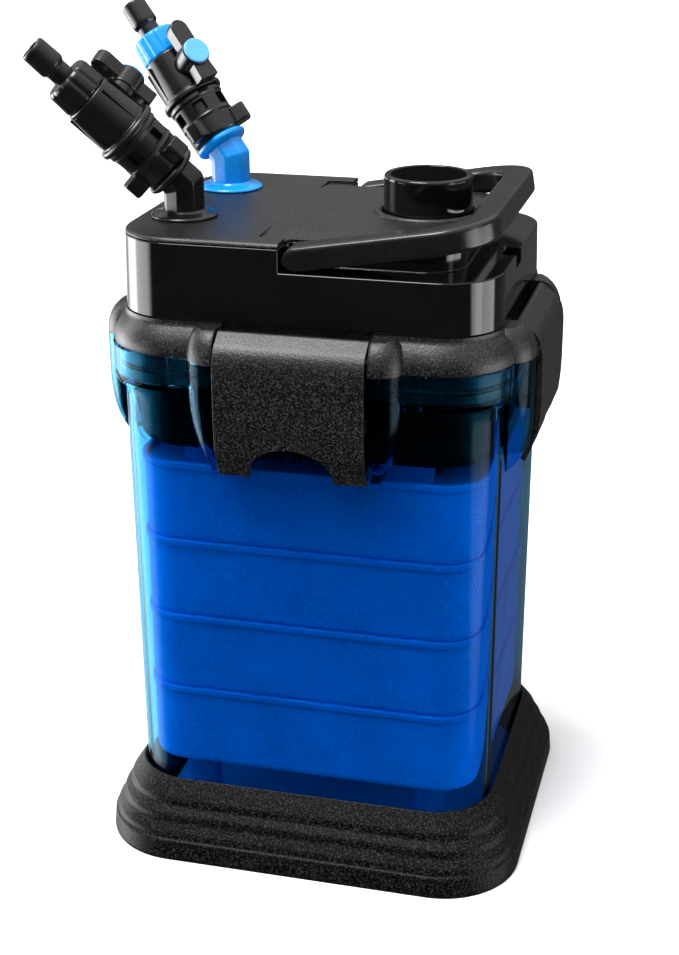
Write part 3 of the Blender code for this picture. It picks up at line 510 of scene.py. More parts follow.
def prism(name, outline, start, end, axes="XYZ", matrix=None):
    """A flat outline drawn in the plane of the first two axes and drawn out along the third."""
    order = ["XYZ".index(axis) for axis in axes]
    rings = []
    for level in (start, end):
        ring = []
        for u, v in outline:
            point = Vector((0.0, 0.0, 0.0))
            point[order[0]], point[order[1]], point[order[2]] = u, v, level
            ring.append(point)
        rings.append(ring)
    return loft(name, rings, matrix)


def box(name, low, high, radius=0.0, matrix=None):
    """A box whose upright edges are rounded."""
    outline = [(low[0], low[1]), (high[0], low[1]), (high[0], high[1]), (low[0], high[1])]
    if radius:
        outline = softened(outline, radius, 4, closed=True)
    return prism(name, outline, low[2], high[2], matrix=matrix)


# ---- foot and canister -----------------------------------------------------------------------

def make_foot():
    # About the foot's width in millimetres, so that its corners round off evenly.
    width = 20
    path = [(share * width, z) for share, z, _ in FOOT_STEPS]
    rings = [
        rounded_ring(mixed(FOOT_POCKET, FOOT_OUTER, out / width), z, 20)
        for out, z in softened(path, [size for *_, size in FOOT_STEPS], 5)
    ]
    foot = loft("stepped_foot", rings)
    # The foot takes a darker copy of textured_black, which paints shade on it for its dimmer light.
    finished(foot, MAIN_BODY, "textured_black", ["base_foot"], finish="foot_painted_shade_black")


def fin_ring(wall, near, width, reach, height, root):
    """A fin's outline at one height: square beside the clamp, and rounding off to the wall."""
    edge, steps = 1.6, 18
    points = [(-root, near), (reach - edge, near), (reach - 0.5, near + 0.45)]
    for step in range(steps + 1):
        share = step / steps
        across = edge / width + (1 - edge / width) * share
        out = reach * (1 - share ** 2.3) ** 0.52
        points.append((out, near + width * across))
    points.append((-root, near + width))
    return [Vector((wall + out, across, height)) for out, across in points]


def fins(name, heights, shape_at, root_at, thinner=0.0):
    """The eight fins that flank the clamps, as one operand."""
    made = []
    for side, (angle, wall) in SIDES.items():
        for sign in (-1, 1):
            rings = []
            for height in heights:
                reach, share = shape_at(height)
                width = max(2.2, FIN_WIDTH[side] * share - 2 * thinner)
                reach = max(0.6, reach - thinner)
                ring = fin_ring(wall, FIN_NEAR + thinner, width, reach, height, root_at(height))
                rings.append([Vector((p.x, sign * p.y, p.z)) for p in ring])
            made.append(loft(f"{name}_{side}_{sign}", rings, turn(angle)))
    return joined(name, made)


def canister_fin_shape(height):
    """A fin's reach and its share of the full width: it narrows to the clamp's tip."""
    share = min(1.0, max(0.0, (318.0 - height) / (318.0 - FIN_TIP_Z)))
    return FIN_REACH * (1 - share ** 4), 1 - 0.9 * share ** 2


def canister_fin_root(height):
    return -5.0 if height > COLLAR_LOW_Z + 6 else 1.5


def rim_fin_shape(height):
    """The rim's domes close over the fins as a quarter round."""
    share = (height - RIM_Z) / (RIM_TOP_Z + 0.5 - RIM_Z)
    round_off = math.sqrt(max(0.0, 1 - share ** 2.1))
    return FIN_REACH * round_off, 0.5 + 0.5 * round_off


def make_canister():
    wall = CANISTER_WALL
    profile = [
        (CANISTER_FOOT, -3.0, CANISTER_BASE_Z, 0), (CANISTER_FOOT, 0.0, CANISTER_BASE_Z + 3, 2.0),
        (CANISTER_TOP, 0.0, COLLAR_LOW_Z - 5, 1.5), (CANISTER_TOP, 1.2, COLLAR_LOW_Z, 1.0),
        (COLLAR_PLAN, -1.2, COLLAR_LOW_Z + 2, 1.2), (COLLAR_PLAN, -0.2, COLLAR_LOW_Z + 6, 1.0),
        (COLLAR_PLAN, 0.0, COLLAR_TOP_Z, 0.6), (COLLAR_PLAN, -wall, COLLAR_TOP_Z, 0.6),
        (COLLAR_PLAN, -wall, COLLAR_LOW_Z + 6.5, 1.5), (CANISTER_TOP, -wall, COLLAR_LOW_Z + 1, 1.0),
        (CANISTER_FOOT, -wall, CANISTER_BASE_Z + 7, 3.0),
        (CANISTER_FOOT, -wall - 3, CANISTER_BASE_Z + wall, 0),
    ]
    rings = []
    path = [(plan[0] + out, z) for plan, out, z, _ in profile]
    path = softened(path, [size for *_, size in profile], 3)
    # The depth and the corner follow the width, which runs on from the foot's plan to the collar's.
    for half_x, z in path:
        lean = min(1.0, max(0.0, (z - CANISTER_BASE_Z) / (COLLAR_LOW_Z - CANISTER_BASE_Z)))
        base = mixed(CANISTER_FOOT, CANISTER_TOP, lean)
        rings.append(rounded_ring(grown(base, half_x - base[0]), z))
    shell = loft("clear_canister", rings)
    heights = [
        COLLAR_TOP_Z, COLLAR_LOW_Z + 6.6, COLLAR_LOW_Z, 306, 300, 294, 288, 282, 276, 271, 267, 264,
        FIN_TIP_Z]
    outer = fins("fins", heights, canister_fin_shape, canister_fin_root)
    combined(shell, [outer], "UNION")
    heights = [COLLAR_TOP_Z + 2, 330, 320, 312, 306, 300, 294, 288, 282, 277]
    inner = fins("fin_hollows", heights, canister_fin_shape, lambda height: 6.0, thinner=2.2)
    combined(shell, [inner])
    return finished(shell, MAIN_BODY, "clear_blue", ["canister"])


# ---- baskets and media -----------------------------------------------------------------------

def make_baskets():
    for index, top in enumerate(BASKET_TOPS):
        low = BASKET_LOW_Z if index == 0 else BASKET_TOPS[index - 1] + BASKET_GAP
        wall = BASKET_WALL
        profile = [
            (-3.5, low), (-0.6, low), (0.2, low + 3.0), (0.0, top - 5.0), (1.6, top - 4.0), (1.6, top),
            (-wall, top), (-wall, low + wall + 1), (-wall - 1.5, low + wall),
        ]
        basket = plan_loft(f"media_tray_{index + 1}", BASKET_PLAN, profile, 0.8)
        slots = [
            box(f"slot_{x}_{y}", (x - 3, y - 14, low - 3), (x + 3, y + 14, low + 6), 2.5)
            for x in range(-72, 73, 18) for y in (-52, -17, 17, 52)
        ]
        combined(basket, [joined("tray_slots", slots)])
        if index == 0:
            floor = CANISTER_BASE_Z + CANISTER_WALL + BASKET_GAP
            leg = [
                (0, low + 1.2), (11, low + 1.2), (11, floor + 3), (13, floor + 2), (13, floor), (0, floor)]
            for place in LEG_PLACES:
                combined(basket, [turned("leg", leg, 0.8, 40, shift(*place, 0))], "UNION")
        finished(basket, MAIN_BODY, "basket_blue", [f"media_basket_{index + 1}"])


def make_basket_lid():
    lid_z = BASKET_TOPS[-1] - 6.0
    plan = grown(BASKET_PLAN, -BASKET_WALL - BASKET_GAP)
    profile = [(-0.5, lid_z), (0, lid_z + 0.5), (0, lid_z + 1.5), (-0.5, lid_z + 2.0)]
    lid = plan_loft("tray_lid", plan, profile)
    slots = [
        box(f"lid_slot_{x}_{y}", (x - 3, y - 18, lid_z - 2), (x + 3, y + 18, lid_z + 5), 2.5)
        for y in (-46, 0, 46) for x in range(-77, 78, 11)
    ]
    combined(lid, [joined("lid_slots", slots)])
    tabs = []
    for x in (-62, 62):
        low, high = lid_z + 1, lid_z + 12
        outline = softened([(x - 16, low), (x + 16, low), (x + 16, high), (x - 16, high)], 2.0, 3, True)
        tabs.append(prism(f"lid_tab_{x}", outline, -78, -74, "XZY"))
    combined(lid, [joined("lid_tabs", tabs)], "UNION")
    finished(lid, MAIN_BODY, "basket_blue", ["basket_lid"])


def make_floor_pattern():
    """A blue moulded plate on the canister's floor, round the legs of the lowest tray."""
    low = CANISTER_BASE_Z + CANISTER_WALL + BASKET_GAP
    plan = grown(CANISTER_FOOT, -CANISTER_WALL - 4.5)
    plate = plan_loft("canister_floor_plate", plan, [(0, low), (0, low + 1.2)])
    combined(plate, [hole(place, 14.0, low - 3, low + 4) for place in LEG_PLACES])
    finished(plate, MAIN_BODY, "clear_blue", finish="floor_blue")


def make_media():
    """Each pad is crowned and pulled in at its corners; the bags are lumpy."""
    pads = [
        ("media_bag_rings", "bio_media_bag", "bio_media", 0.7, 1.6, 55.0),
        ("media_foam_block", "coarse_foam_pad", "foam", 0.95, 0.5, 90.0),
        ("media_bag_carbon", "carbon_bag", "foam", 0.75, 1.2, 70.0),
        ("media_floss_sheet", "floss_pad", "floss", 0.85, 0.9, 40.0),
    ]
    for name, node, slot, fill, lump, scale in pads:
        low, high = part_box(node)
        low, high = low / MM, high / MM
        middle, half = (low.z + high.z) / 2, (high.z - low.z) / 2
        plan = (high.x - 1.0, high.y - 1.0, 26.0)
        rings = []
        count = 16
        for step in range(1, count):
            angle = math.pi * step / count - math.pi / 2
            out = abs(math.cos(angle)) ** 0.35
            height = middle + half * math.copysign(abs(math.sin(angle)) ** 0.6, math.sin(angle))
            size = (plan[0] * out, plan[1] * out, plan[2] * out)
            rings.append(rounded_ring(size, height, 10))
        pad = loft(name, rings)
        edit = bmesh.new()
        edit.from_mesh(pad.data)
        for face in [face for face in edit.faces if len(face.verts) > 4]:
            bmesh.ops.poke(edit, faces=[face])
        bmesh.ops.subdivide_edges(edit, edges=edit.edges, cuts=1, use_grid_fill=True)
        edit.normal_update()
        for vert in edit.verts:
            push = noise.noise(vert.co * scale) - 0.5
            vert.co += vert.normal * push * lump * MM
        edit.to_mesh(pad.data)
        edit.free()
        finished(pad, MAIN_BODY, slot, [node], weighted=False)


# ---- pump head -------------------------------------------------------------------------------

def hole(place, radius, low, high):
    return cylinder("hole", radius, (*place, low), (*place, high))


def clamp_pin_bore(angle, wall, span):
    out, z = CLAMP_PIN
    start, end = (wall + out, -span, z), (wall + out, span, z)
    return cylinder("pin_bore", CLAMP_PIN_RADIUS + CLAMP_PIN_PLAY, start, end, turn(angle), 24)


def make_rim():
    plug = grown(COLLAR_PLAN, -CANISTER_WALL - 1.0)
    pocket = grown(HEAD_PLAN, -6.5)
    groove = -SEAL_SIZE + 0.4
    half = SEAL_SIZE / 2 + 0.3
    rings = [rounded_ring(pocket, RIM_FLOOR_Z), rounded_ring(pocket, RIM_TOP_Z)]
    rings += [rounded_ring(grown(HEAD_PLAN, out), z) for out, z in softened(RIM_SHOULDER, 2.0, 3)]
    plug_profile = [
        (0, RIM_Z), (0, SEAL_Z + half), (groove, SEAL_Z + half), (groove, SEAL_Z - half),
        (0, SEAL_Z - half), (0, PLUG_LOW_Z), (-5, PLUG_LOW_Z), (-5, RIM_Z + 0.5),
    ]
    rings += [rounded_ring(grown(plug, out), z) for out, z in plug_profile]
    rim = loft("head_rim_moulding", rings)
    heights = [RIM_Z, 339, 341, 343, 345, 347, 349, 351, 352.7, 354.2, 355.5, 356.5]
    combined(rim, [fins("rim_domes", heights, rim_fin_shape, lambda height: 4.0)], "UNION")
    cuts = []
    wide = CLAMP_HALF_WIDTH + 0.4
    low, high = RIM_Z + 0.2, RIM_TOP_Z + 3
    for angle, wall in SIDES.values():
        outline = [(-wide, low), (wide, low), (wide, high), (-wide, high)]
        cuts.append(prism("clamp_pocket", outline, wall - 5, wall + 30, "YZX", turn(angle)))
        cuts.append(clamp_pin_bore(angle, wall, wide + 5))
    holes = [(tap["place"], TAP_SOCKET_RADIUS) for tap in TAPS.values()] + [(MOTOR, 13.4), (BUTTON, 15.4)]
    for place, radius in holes:
        cuts.append(hole(place, radius, RIM_Z - 3, RIM_FLOOR_Z + 3))
    combined(rim, cuts)
    finished(rim, MAIN_BODY, "textured_black", ["head_rim"])


def inner_block_outline(inset):
    """The plan of the raised block inside the handle's recess, from its front end round to its back."""
    x, y, radius = grown(INNER_BLOCK, -inset)
    front = arc((x - radius, -y + radius), radius, -90, 0, 14)
    return front + arc((x - radius, y - radius), radius, 0, 90, 14)


def handle_recess():
    """The U-shaped cutter that opens the ledge where the handle lies; its inner ends are rounded."""
    reach, y, small = 140.0, INNER_BLOCK[1], 4.0
    x = RECESS_START_X
    outline = [(x, reach), (reach, reach), (reach, -reach), (x, -reach)]
    outline += arc((x + small, -y - small), small, 180, 90, 6) + inner_block_outline(0.0)
    outline += arc((x + small, y + small), small, 270, 180, 6)
    return prism("handle_recess", outline, LEDGE_Z, BUTTON_TOP_Z)


def make_housing():
    profile = [(0, HEAD_LOW_Z), (-1.0, HOUSING_TOP_Z)]
    housing = plan_loft("pump_housing", HEAD_PLAN, profile)
    wall = 3.5
    left = -HEAD_PLAN[0] + 6
    upper = [(left, INNER_BLOCK[1] - wall), (left, -INNER_BLOCK[1] + wall)] + inner_block_outline(wall)
    combined(housing, [handle_recess()])
    bevelled(housing, 0.9, 3, 50)
    cuts = [
        plan_loft("housing_cavity", HEAD_PLAN, [(-wall, HEAD_LOW_Z - 5), (-wall, LEDGE_Z - 3)]),
        prism("upper_cavity", upper, LEDGE_Z - 6, HOUSING_TOP_Z - 3),
        hole(BUTTON, 31.3, HOUSING_TOP_Z - 6, HOUSING_TOP_Z + 3),
        box("catch_slot", (106, -22, LEDGE_Z - 8), (130, -4, LEDGE_Z + 3)),
        cylinder("gland_bore", 6.3, (GLAND[0], 80, GLAND[1]), (GLAND[0], 110, GLAND[1])),
    ]
    for tap in TAPS.values():
        cuts.append(hole(tap["place"], TAP_SOCKET_RADIUS, HOUSING_TOP_Z - 6, HOUSING_TOP_Z + 3))
    x, z = HANDLE_PIVOT
    for sign in (-1, 1):
        cuts.append(cylinder("pivot_bore", 3.3, (x, sign * 66, z), (x, sign * 80, z), None, 32))
    for cutter in cuts:
        combined(housing, [cutter])
    finished(housing, MAIN_BODY, "gloss_black", ["head_housing"])


def make_top_plate():
    plan = grown(HEAD_PLAN, -1.0)
    profile = [
        (-0.3, PLATE_LOW_Z), (0, PLATE_LOW_Z + 0.5), (-0.4, PLATE_LOW_Z + 1.6), (-1.3, PLATE_TOP_Z - 0.5),
        (-3, PLATE_TOP_Z),
    ]
    plate = plan_loft("top_cover", plan, profile, 0.6)
    cuts = [handle_recess()]
    for sign in (-1, 1):
        outline = [(sign * 53, PLATE_TOP_Z + 0.02), (sign * 80, 404.4), (sign * 80, 415), (sign * 53, 415)]
        cuts.append(prism(f"facet_{sign}", outline, -27, 140, "YZX"))
    for cutter in cuts:
        combined(plate, [cutter])
    bevelled(plate, 0.45, 2, 40)
    ring = [(32.8, 408.1), (33.8, 406.8), (33.8, 404.5), (28.9, 404.5), (28.9, 407.6), (31.0, 408.3)]
    combined(plate, [turned("button_ring", ring, 0.5, matrix=shift(*BUTTON, 0))], "UNION")
    combined(plate, [hole(BUTTON, 28.4, PLATE_LOW_Z - 5, PLATE_TOP_Z + 10)])
    for tap in TAPS.values():
        combined(plate, [hole(tap["place"], 12.5, PLATE_LOW_Z - 5, PLATE_TOP_Z + 5)])
    finished(plate, MAIN_BODY, "textured_black", ["top_plate"])


def make_gland():
    profile = [(5.2, 12.0)]
    for step in range(5):
        z = 10.4 - 2.0 * step
        out = 5.3 + 0.35 * step
        profile += [(out + 0.3, z), (out - 0.4, z - 0.6), (out - 0.4, z - 1.2)]
    profile += [(9.0, 2.2), (9.0, 0.0), (5.9, -0.2), (5.9, -8.0), (3.6, -8.0), (3.6, 12.0)]
    place = shift(GLAND[0], HEAD_PLAN[1] + 0.5, GLAND[1]) @ turn(-90, "X")
    bush = turned("lead_bush", profile, 0.25, 48, place)
    finished(bush, MAIN_BODY, "rubber", ["cord_gland"])


def make_motor_chamber():
    low = MOTOR_BAY_LOW_Z
    profile = [
        (-4, low), (0, low + 4), (0.6, 308), (1.0, RIM_Z - 0.1), (-1.6, RIM_Z - 0.1), (-2.5, low + 5),
        (-5, low + 2.5),
    ]
    chamber = plan_loft("motor_bay", MOTOR_BAY_PLAN, profile, 2.0)
    cuts = [hole(MOTOR, 26.0, low - 4, low + 8)]
    for column in range(6):
        x = 14.0 + column * 14.0
        cuts.append(box("bay_slot", (x, -55, low - 3), (x + 6, 55, low + 6), 2.5))
    for cutter in cuts:
        combined(chamber, [cutter])
    finished(chamber, MAIN_BODY, "satin_black", ["motor_chamber"], finish="bay_black")


# ---- clamps ----------------------------------------------------------------------------------

def make_clamp(side):
    angle, wall = SIDES[side]
    reach = CLAMP_REACH
    outline = [
        (2.0, 353.6, 0.6), (2.4, 355.6, 0.6), (5.0, 355.9, 1.2), (14.6, 348.6, 3.0), (18.0, 343.0, 3.0),
        (reach, 335.0, 5.0), (reach, 301.0, 7.0), (reach - 1.4, 286.0, 1.5), (reach - 8.6, 268.5, 0.8),
        (reach - 11.4, 269.6, 0.8), (reach - 4.6, 286.5, 2.0), (reach - 3.2, 302.5, 0.8), (4.2, 303.0, 0.5),
        (3.6, 305.0, 0.5), (3.8, 310.2, 0.4), (reach - 3.4, 310.8, 0.8), (reach - 3.2, 331.0, 1.0),
        (14.0, 337.8, 0.8), (10.0, 340.4, 0.8), (5.6, 341.5, 0.6), (4.6, 345.0, 0.6), (4.6, 350.0, 0.5),
    ]
    profile = [(wall + out, z) for out, z, _ in outline]
    profile = softened(profile, [size for *_, size in outline], 3, True)
    half = CLAMP_HALF_WIDTH
    clamp = prism(f"{side}_latch_plate", profile, -half, half, "XZY", turn(angle))
    arch_half, arch_low, arch_rise, steps = 25.5, 268.0, 22.0, 28
    arch = [(-arch_half, arch_low - 10), (-arch_half, arch_low)]
    for step in range(1, steps):
        around = math.pi * (1 - step / steps)
        arch.append((arch_half * math.cos(around), arch_low + arch_rise * math.sin(around) ** 0.8))
    arch += [(arch_half, arch_low), (arch_half, arch_low - 10)]
    combined(clamp, [prism("arch", arch, wall - 4, wall + 34, "YZX", turn(angle))])
    bevelled(clamp, 0.9, 3, 45)
    combined(clamp, [clamp_pin_bore(angle, wall, half + 5)])
    finished(clamp, f"{side}_latch", "textured_black", [f"{side}_clamp"])


# ---- handle and button -----------------------------------------------------------------------

def handle_station(outer, inner, lift):
    """One cross-section of the handle between a point of its outer and of its inner edge."""
    across = outer - inner
    width = across.length
    half = HANDLE_HEIGHT / 2 * lift
    corner = min(3.2, half * 0.8)
    corners = [(0, -half), (width, -half), (width, half), (0, half)]
    ring = []
    for u, v in softened(corners, corner, 5, True):
        point = inner + across * (u / width)
        ring.append(Vector((point.x, point.y, v)))
    return ring


def make_handle():
    half_x, half_y, radius = grown(HEAD_PLAN, -0.9)
    inner_x, inner_y = half_x - HANDLE_WIDTH, half_y - HANDLE_WIDTH
    inner_radius = radius - HANDLE_WIDTH + 4
    stations = []
    for step in range(1, 9):
        around = math.radians(90 * step / 8)
        x = -HANDLE_HEIGHT / 2 * math.cos(around)
        stations.append((x, -half_y, x, -inner_y, max(0.12, math.sin(around))))
    for x in (15.0, 30.0, 45.0, 60.0, 70.0):
        stations.append((x, -half_y, x, -inner_y, 1.0))
    steps = 16
    outer_arc = arc((half_x - radius, -half_y + radius), radius, -90, 0, steps)
    inner_arc = arc((inner_x - inner_radius, -inner_y + inner_radius), inner_radius, -90, 0, steps)
    for (outer_x, outer_y), (in_x, in_y) in zip(outer_arc, inner_arc):
        stations.append((outer_x, outer_y, in_x, in_y, 1.0))
    mirror = [(ox, -oy, ix, -iy, lift) for ox, oy, ix, iy, lift in reversed(stations)]
    rings = [
        handle_station(Vector((ox, oy)), Vector((ix, iy)), lift)
        for ox, oy, ix, iy, lift in stations + mirror
    ]
    x, z = HANDLE_PIVOT
    place = shift(x, 0, z) @ turn(-HANDLE_RAISED, "Y")
    handle = loft("lifting_handle", rings)
    cuts = []
    for sign in (-1, 1):
        start, end = (0, sign * (inner_y - 5), 0), (0, sign * (inner_y + 11), 0)
        cuts.append(cylinder("pin_bore", 3.4, start, end, None, 32))
        mark = softened([(2.5, -3.4), (20.0, -3.4), (20.0, 3.4), (2.5, 3.4)], 1.2, 3, True)
        cuts.append(prism("end_mark", mark, sign * (half_y - 0.7), sign * (half_y + 4), "XZY"))
    for cutter in cuts:
        combined(handle, [cutter])
    handle.data.transform(place)
    finished(handle, "handle", "gloss_black", ["carry_handle"], finish="handle_black")


def make_button():
    top, r = BUTTON_TOP_Z, BUTTON_RADIUS
    place = shift(*BUTTON, 0)
    cap = [
        (0, top - 0.8), (23.2, top - 0.8), (23.8, top - 0.1), (24.2, top), (26.0, top),
        (r - 0.3, top - 0.7), (r, top - 1.8), (r, 398.0), (r - 2.2, 398.0), (r - 2.2, top - 4.0),
        (0, top - 4.0),
    ]
    finished(turned("priming_button", cap, 0.35, 128, place), "button", "gloss_black", ["prime_button"])
    disc = [(0, top), (21.6, top), (22.3, top - 0.05), (22.9, top - 0.3), (22.9, top - 0.5), (0, top - 0.5)]
    finished(turned("button_badge", disc, 0.1, 128, place), "button", "gloss_black", ["button_disc"],
             finish="badge_black")


def make_spring():
    """The button's return spring, coiled between the barrel's floor and the button."""
    low, high = (corner.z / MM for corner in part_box("prime_spring"))
    wire, coil, turns, steps = 0.8, 9.0, 6, 28
    rings = []
    for index in range(turns * steps + 1):
        angle = 2 * math.pi * index / steps
        outwards = Vector((math.cos(angle), math.sin(angle), 0))
        height = low + wire + (high - low - 2 * wire) * index / (turns * steps)
        centre = Vector((*BUTTON, height)) + outwards * coil
        section = [2 * math.pi * side / 8 for side in range(8)]
        rings.append([
            centre + wire * (outwards * math.cos(t) + Vector((0, 0, math.sin(t)))) for t in section])
    spring = finished(loft("return_spring", rings), None, "steel", ["prime_spring"], weighted=False)
    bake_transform(spring)


# ---- taps ------------------------------------------------------------------------------------

def bent_rings(tap, outlines, low, reach):
    """Rings of a tube that rises straight to the bend, at height 0, and then leans."""
    tilt = math.radians(tap["tilt"])
    lean = Matrix.Rotation(tilt, 3, "Y")
    lower = [Vector((x, y, low)) for x, y in outlines]
    mitre = [Vector((x, y, -x * math.tan(tilt / 2))) for x, y in outlines]
    upper = [lean @ Vector((x, y, reach)) for x, y in outlines]
    rings = [lower]
    for first, last in ((lower, mitre), (mitre, upper)):
        for share in ((0.5, 0.94) if first is lower else (0.06, 0.5)):
            rings.append([a.lerp(b, share) for a, b in zip(first, last)])
    return rings + [upper]


def octagon(radius, rounding):
    corners = arc((0, 0), radius, 22.5, 337.5, 7)
    return softened(corners, rounding, 3, True)


def make_tap(name, elbow_slot, nut_slot):
    tap = TAPS[name]
    base = shift(*tap["place"], TAP_BEND_Z) @ turn(tap["azimuth"])
    axis = base @ turn(tap["tilt"], "Y") @ turn(tap["roll"])
    body = f"{name}_tap"
    seat = PLATE_TOP_Z + 0.3 - TAP_BEND_Z

    profile = [
        (12.6, seat + 4.6), (14.0, seat + 3.2), (19.4, seat + 1.9), (20.4, seat + 1.0), (20.4, seat),
        (11.7, seat), (11.7, seat - 16), (10.4, seat - 16), (10.4, seat - 19), (11.7, seat - 19),
        (11.7, seat - 60), (8.0, seat - 60), (8.0, seat + 4.6),
    ]
    elbow = turned(f"{name}_bend", profile, 0.5, matrix=base)
    stem = loft("stem", bent_rings(tap, octagon(12.9, 1.4), seat + 1.0, 9.5), base)
    ring = [
        (10.4, 24.0), (10.4, 13.0), (15.6, 13.0), (17.2, 11.6), (17.2, 9.8), (15.6, 8.2), (11.5, 7.0),
        (7.9, 7.0), (7.9, 24.0),
    ]
    combined(elbow, [stem], "UNION")
    combined(elbow, [turned("elbow_ring", ring, 0.6, matrix=axis)], "UNION")
    bore = loft("bore", bent_rings(tap, arc((0, 0), 7.8, 0, 360 - 360 / 40, 39), seat - 70, 40.0), base)
    combined(elbow, [bore])
    finished(elbow, body, elbow_slot, [f"{name}_elbow"])

    profile = [
        (18.4, 43.4), (18.7, 40.5), (17.9, 39.4), (17.6, 28.6), (18.0, 27.4), (17.4, 26.0), (16.6, 15.0),
        (15.4, 13.4), (11.0, 13.4), (11.0, 16.2), (14.3, 17.6), (14.3, 43.4),
    ]
    collar = turned(f"{name}_lock_ring", profile, 0.4, matrix=axis)
    lug = [(15.0, -6.5), (23.4, -6.0), (25.4, -3.8), (25.4, 3.8), (23.4, 6.0), (15.0, 6.5)]
    lug = softened(lug, 1.2, 3, True)
    lugs = [prism("lug", lug, 15.0, 26.0, matrix=axis @ turn(angle)) for angle in tap["lugs"]]
    for piece in lugs:
        bevelled(piece, 0.9, 3, 50)
        combined(collar, [piece], "UNION")
    window = softened([(-4.2, 30.0), (4.2, 30.0), (4.2, 38.0), (-4.2, 38.0)], 1.2, 3, True)
    for index in range(6):
        combined(collar, [prism("window", window, 12, 24, "YZX", axis @ turn(60 * index + 30))])
    finished(collar, f"{name}_collar", "satin_black", [f"{name}_lock_collar"])

    profile = [
        (12.4, 85.0), (12.4, 76.4), (15.4, 76.4), (15.9, 75.6), (16.3, 70.0), (17.4, 52.0), (17.4, 48.6),
        (20.0, 47.6), (20.6, 46.6), (20.6, 44.6), (20.2, 43.8), (13.9, 43.8), (13.9, 22.4), (11.4, 22.4),
        (11.4, 85.0),
    ]
    valve = turned(f"{name}_valve_housing", profile, 0.5, matrix=axis)
    z = LEVER_HUB
    combined(valve, [cylinder("boss", 8.6, (12.6, 0, z), (19.8, 0, z), axis, 48)], "UNION")
    ribs = [
        box("rib", (15.2, -0.7, 50.0), (17.9, 0.7, 74.0), matrix=axis @ turn(angle))
        for angle in range(45, 360, 45)
    ]
    combined(valve, [joined("ribs", ribs)], "UNION")
    combined(valve, [cylinder("stem_bore", 4.5, (8, 0, z), (24, 0, z), axis, 32)])
    finished(valve, body, "satin_black", [f"{name}_valve_body"])

    half = 6.0
    outline = [(-half - 0.6, z - 18.0), (half + 0.6, z - 18.0), (half, z - 8), (half, z + 18.0)]
    outline += arc((0, z + 18.5), half, 0, 180, 14) + [(-half, z + 18.0), (-half, z - 8)]
    lever = prism(f"{name}_lever_blade", softened(outline, 1.0, 3, True), 21.6, 31.0, "YZX", axis)
    bevelled(lever, 1.4, 3, 50)
    hub_axis = axis @ shift(0, 0, z) @ turn(90, "Y")
    hub = [(0, 32.6), (8.6, 32.6), (9.2, 32.0), (9.2, 20.8), (8.8, 20.2), (0, 20.2)]
    combined(lever, [turned("hub", hub, 0.3, 64, hub_axis)], "UNION")
    combined(lever, [cylinder("stem", 4.1, (11.2, 0, z), (26, 0, z), axis, 32)], "UNION")
    finished(lever, f"{name}_handle", "satin_black", [f"{name}_lever"])
    cap = [(0, 34.1), (7.6, 34.1), (8.3, 33.8), (8.4, 33.3), (8.4, 32.9), (0, 32.9)]
    cap = turned(f"{name}_lever_badge", cap, 0.2, 64, hub_axis)
    finished(cap, f"{name}_handle", "cap_blue", [f"{name}_lever_cap"])

    flutes, steps = 12, 120
    # Height, radius and the depth of the flutes.
    nut_profile = [
        (76.7, 14.6, 0.2), (77.3, 15.3, 0.5), (78.2, 15.6, 0.9), (84.0, 15.3, 0.9), (90.6, 15.0, 0.9),
        (91.8, 14.5, 0.6), (93.0, 13.5, 0.1), (93.4, 12.8, 0.0),
    ]
    rings = []
    for height, radius, depth in nut_profile:
        ring = []
        for index in range(steps):
            angle = 2 * math.pi * index / steps
            groove = max(0.0, math.cos(angle * flutes)) ** 1.5
            out = radius - depth * groove
            ring.append(Vector((out * math.cos(angle), out * math.sin(angle), height)))
        rings.append(ring)
    nut = loft(f"{name}_union_nut", rings, axis)
    bore = [(0, 96.0), (7.4, 96.0), (7.4, 92.2), (12.9, 89.8), (12.9, 74.0), (0, 74.0)]
    combined(nut, [turned("nut_bore", bore, matrix=axis, steps=48)])
    finished(nut, f"{name}_nut", nut_slot, [f"{name}_hose_nut"])

    tail = [
        (7.2, 118.5), (7.9, 118.0), (8.2, 116.8), (8.5, 104.0), (8.3, 102.4), (7.4, 101.2), (6.8, 100.4),
        (6.8, 90.0), (11.0, 89.2), (11.0, 86.2), (5.4, 86.2), (5.4, 118.0), (5.9, 118.5),
    ]
    tail = turned(f"{name}_hose_barb", tail, 0.4, matrix=axis)
    finished(tail, body, "satin_black", [f"{name}_hose_tail"])


# ---- making ----------------------------------------------------------------------------------

for node, obj in frame["nodes"].items():
    slot = next(part["material_slot"] for part in frame["record"]["subparts"] if part["node"] == node)
    obj.data.materials.clear()
    obj.data.materials.append(FINISHES[slot])

make_foot()
make_canister()
make_baskets()
make_basket_lid()
make_floor_pattern()
make_media()
make_rim()
make_housing()
make_top_plate()
make_gland()
make_motor_chamber()
for side_name in SIDES:
    make_clamp(side_name)
make_handle()
make_button()
make_spring()
make_tap("outlet", "satin_black", "satin_black")
make_tap("inlet", "tap_blue", "tap_blue")


# ---- stage, lights and camera ----------------------------------------------------------------

def make_floor():
    edit = bmesh.new()
    bmesh.ops.create_grid(edit, x_segments=8, y_segments=8, size=20.0)
    floor = solid("studio_floor", edit, Matrix.Translation((0, 0, -0.0002)))
    material, tree, shader, place = node_graph("pale_floor")
    slow = noise_node(tree, place, 1.5, 2.0)
    share = ranged(tree, slow, 0.3, 0.7, 0.0, 1.0)
    colour = mixed_colour(tree, share, (0.86, 0.86, 0.86), (0.88, 0.88, 0.88))
    tree.links.new(colour, shader.inputs["Base Color"])
    shader.inputs["Roughness"].default_value = 0.9
    shader.inputs["Specular IOR Level"].default_value = 0.1
    floor.data.materials.append(material)
    floor.visible_glossy = False
    floor.visible_transmission = False


def calculated(tree, operation, first, second):
    node = tree.nodes.new("ShaderNodeMath")
    node.operation = operation
    tree.links.new(first, node.inputs[0])
    tree.links.new(second, node.inputs[1])
    return node.outputs["Value"]


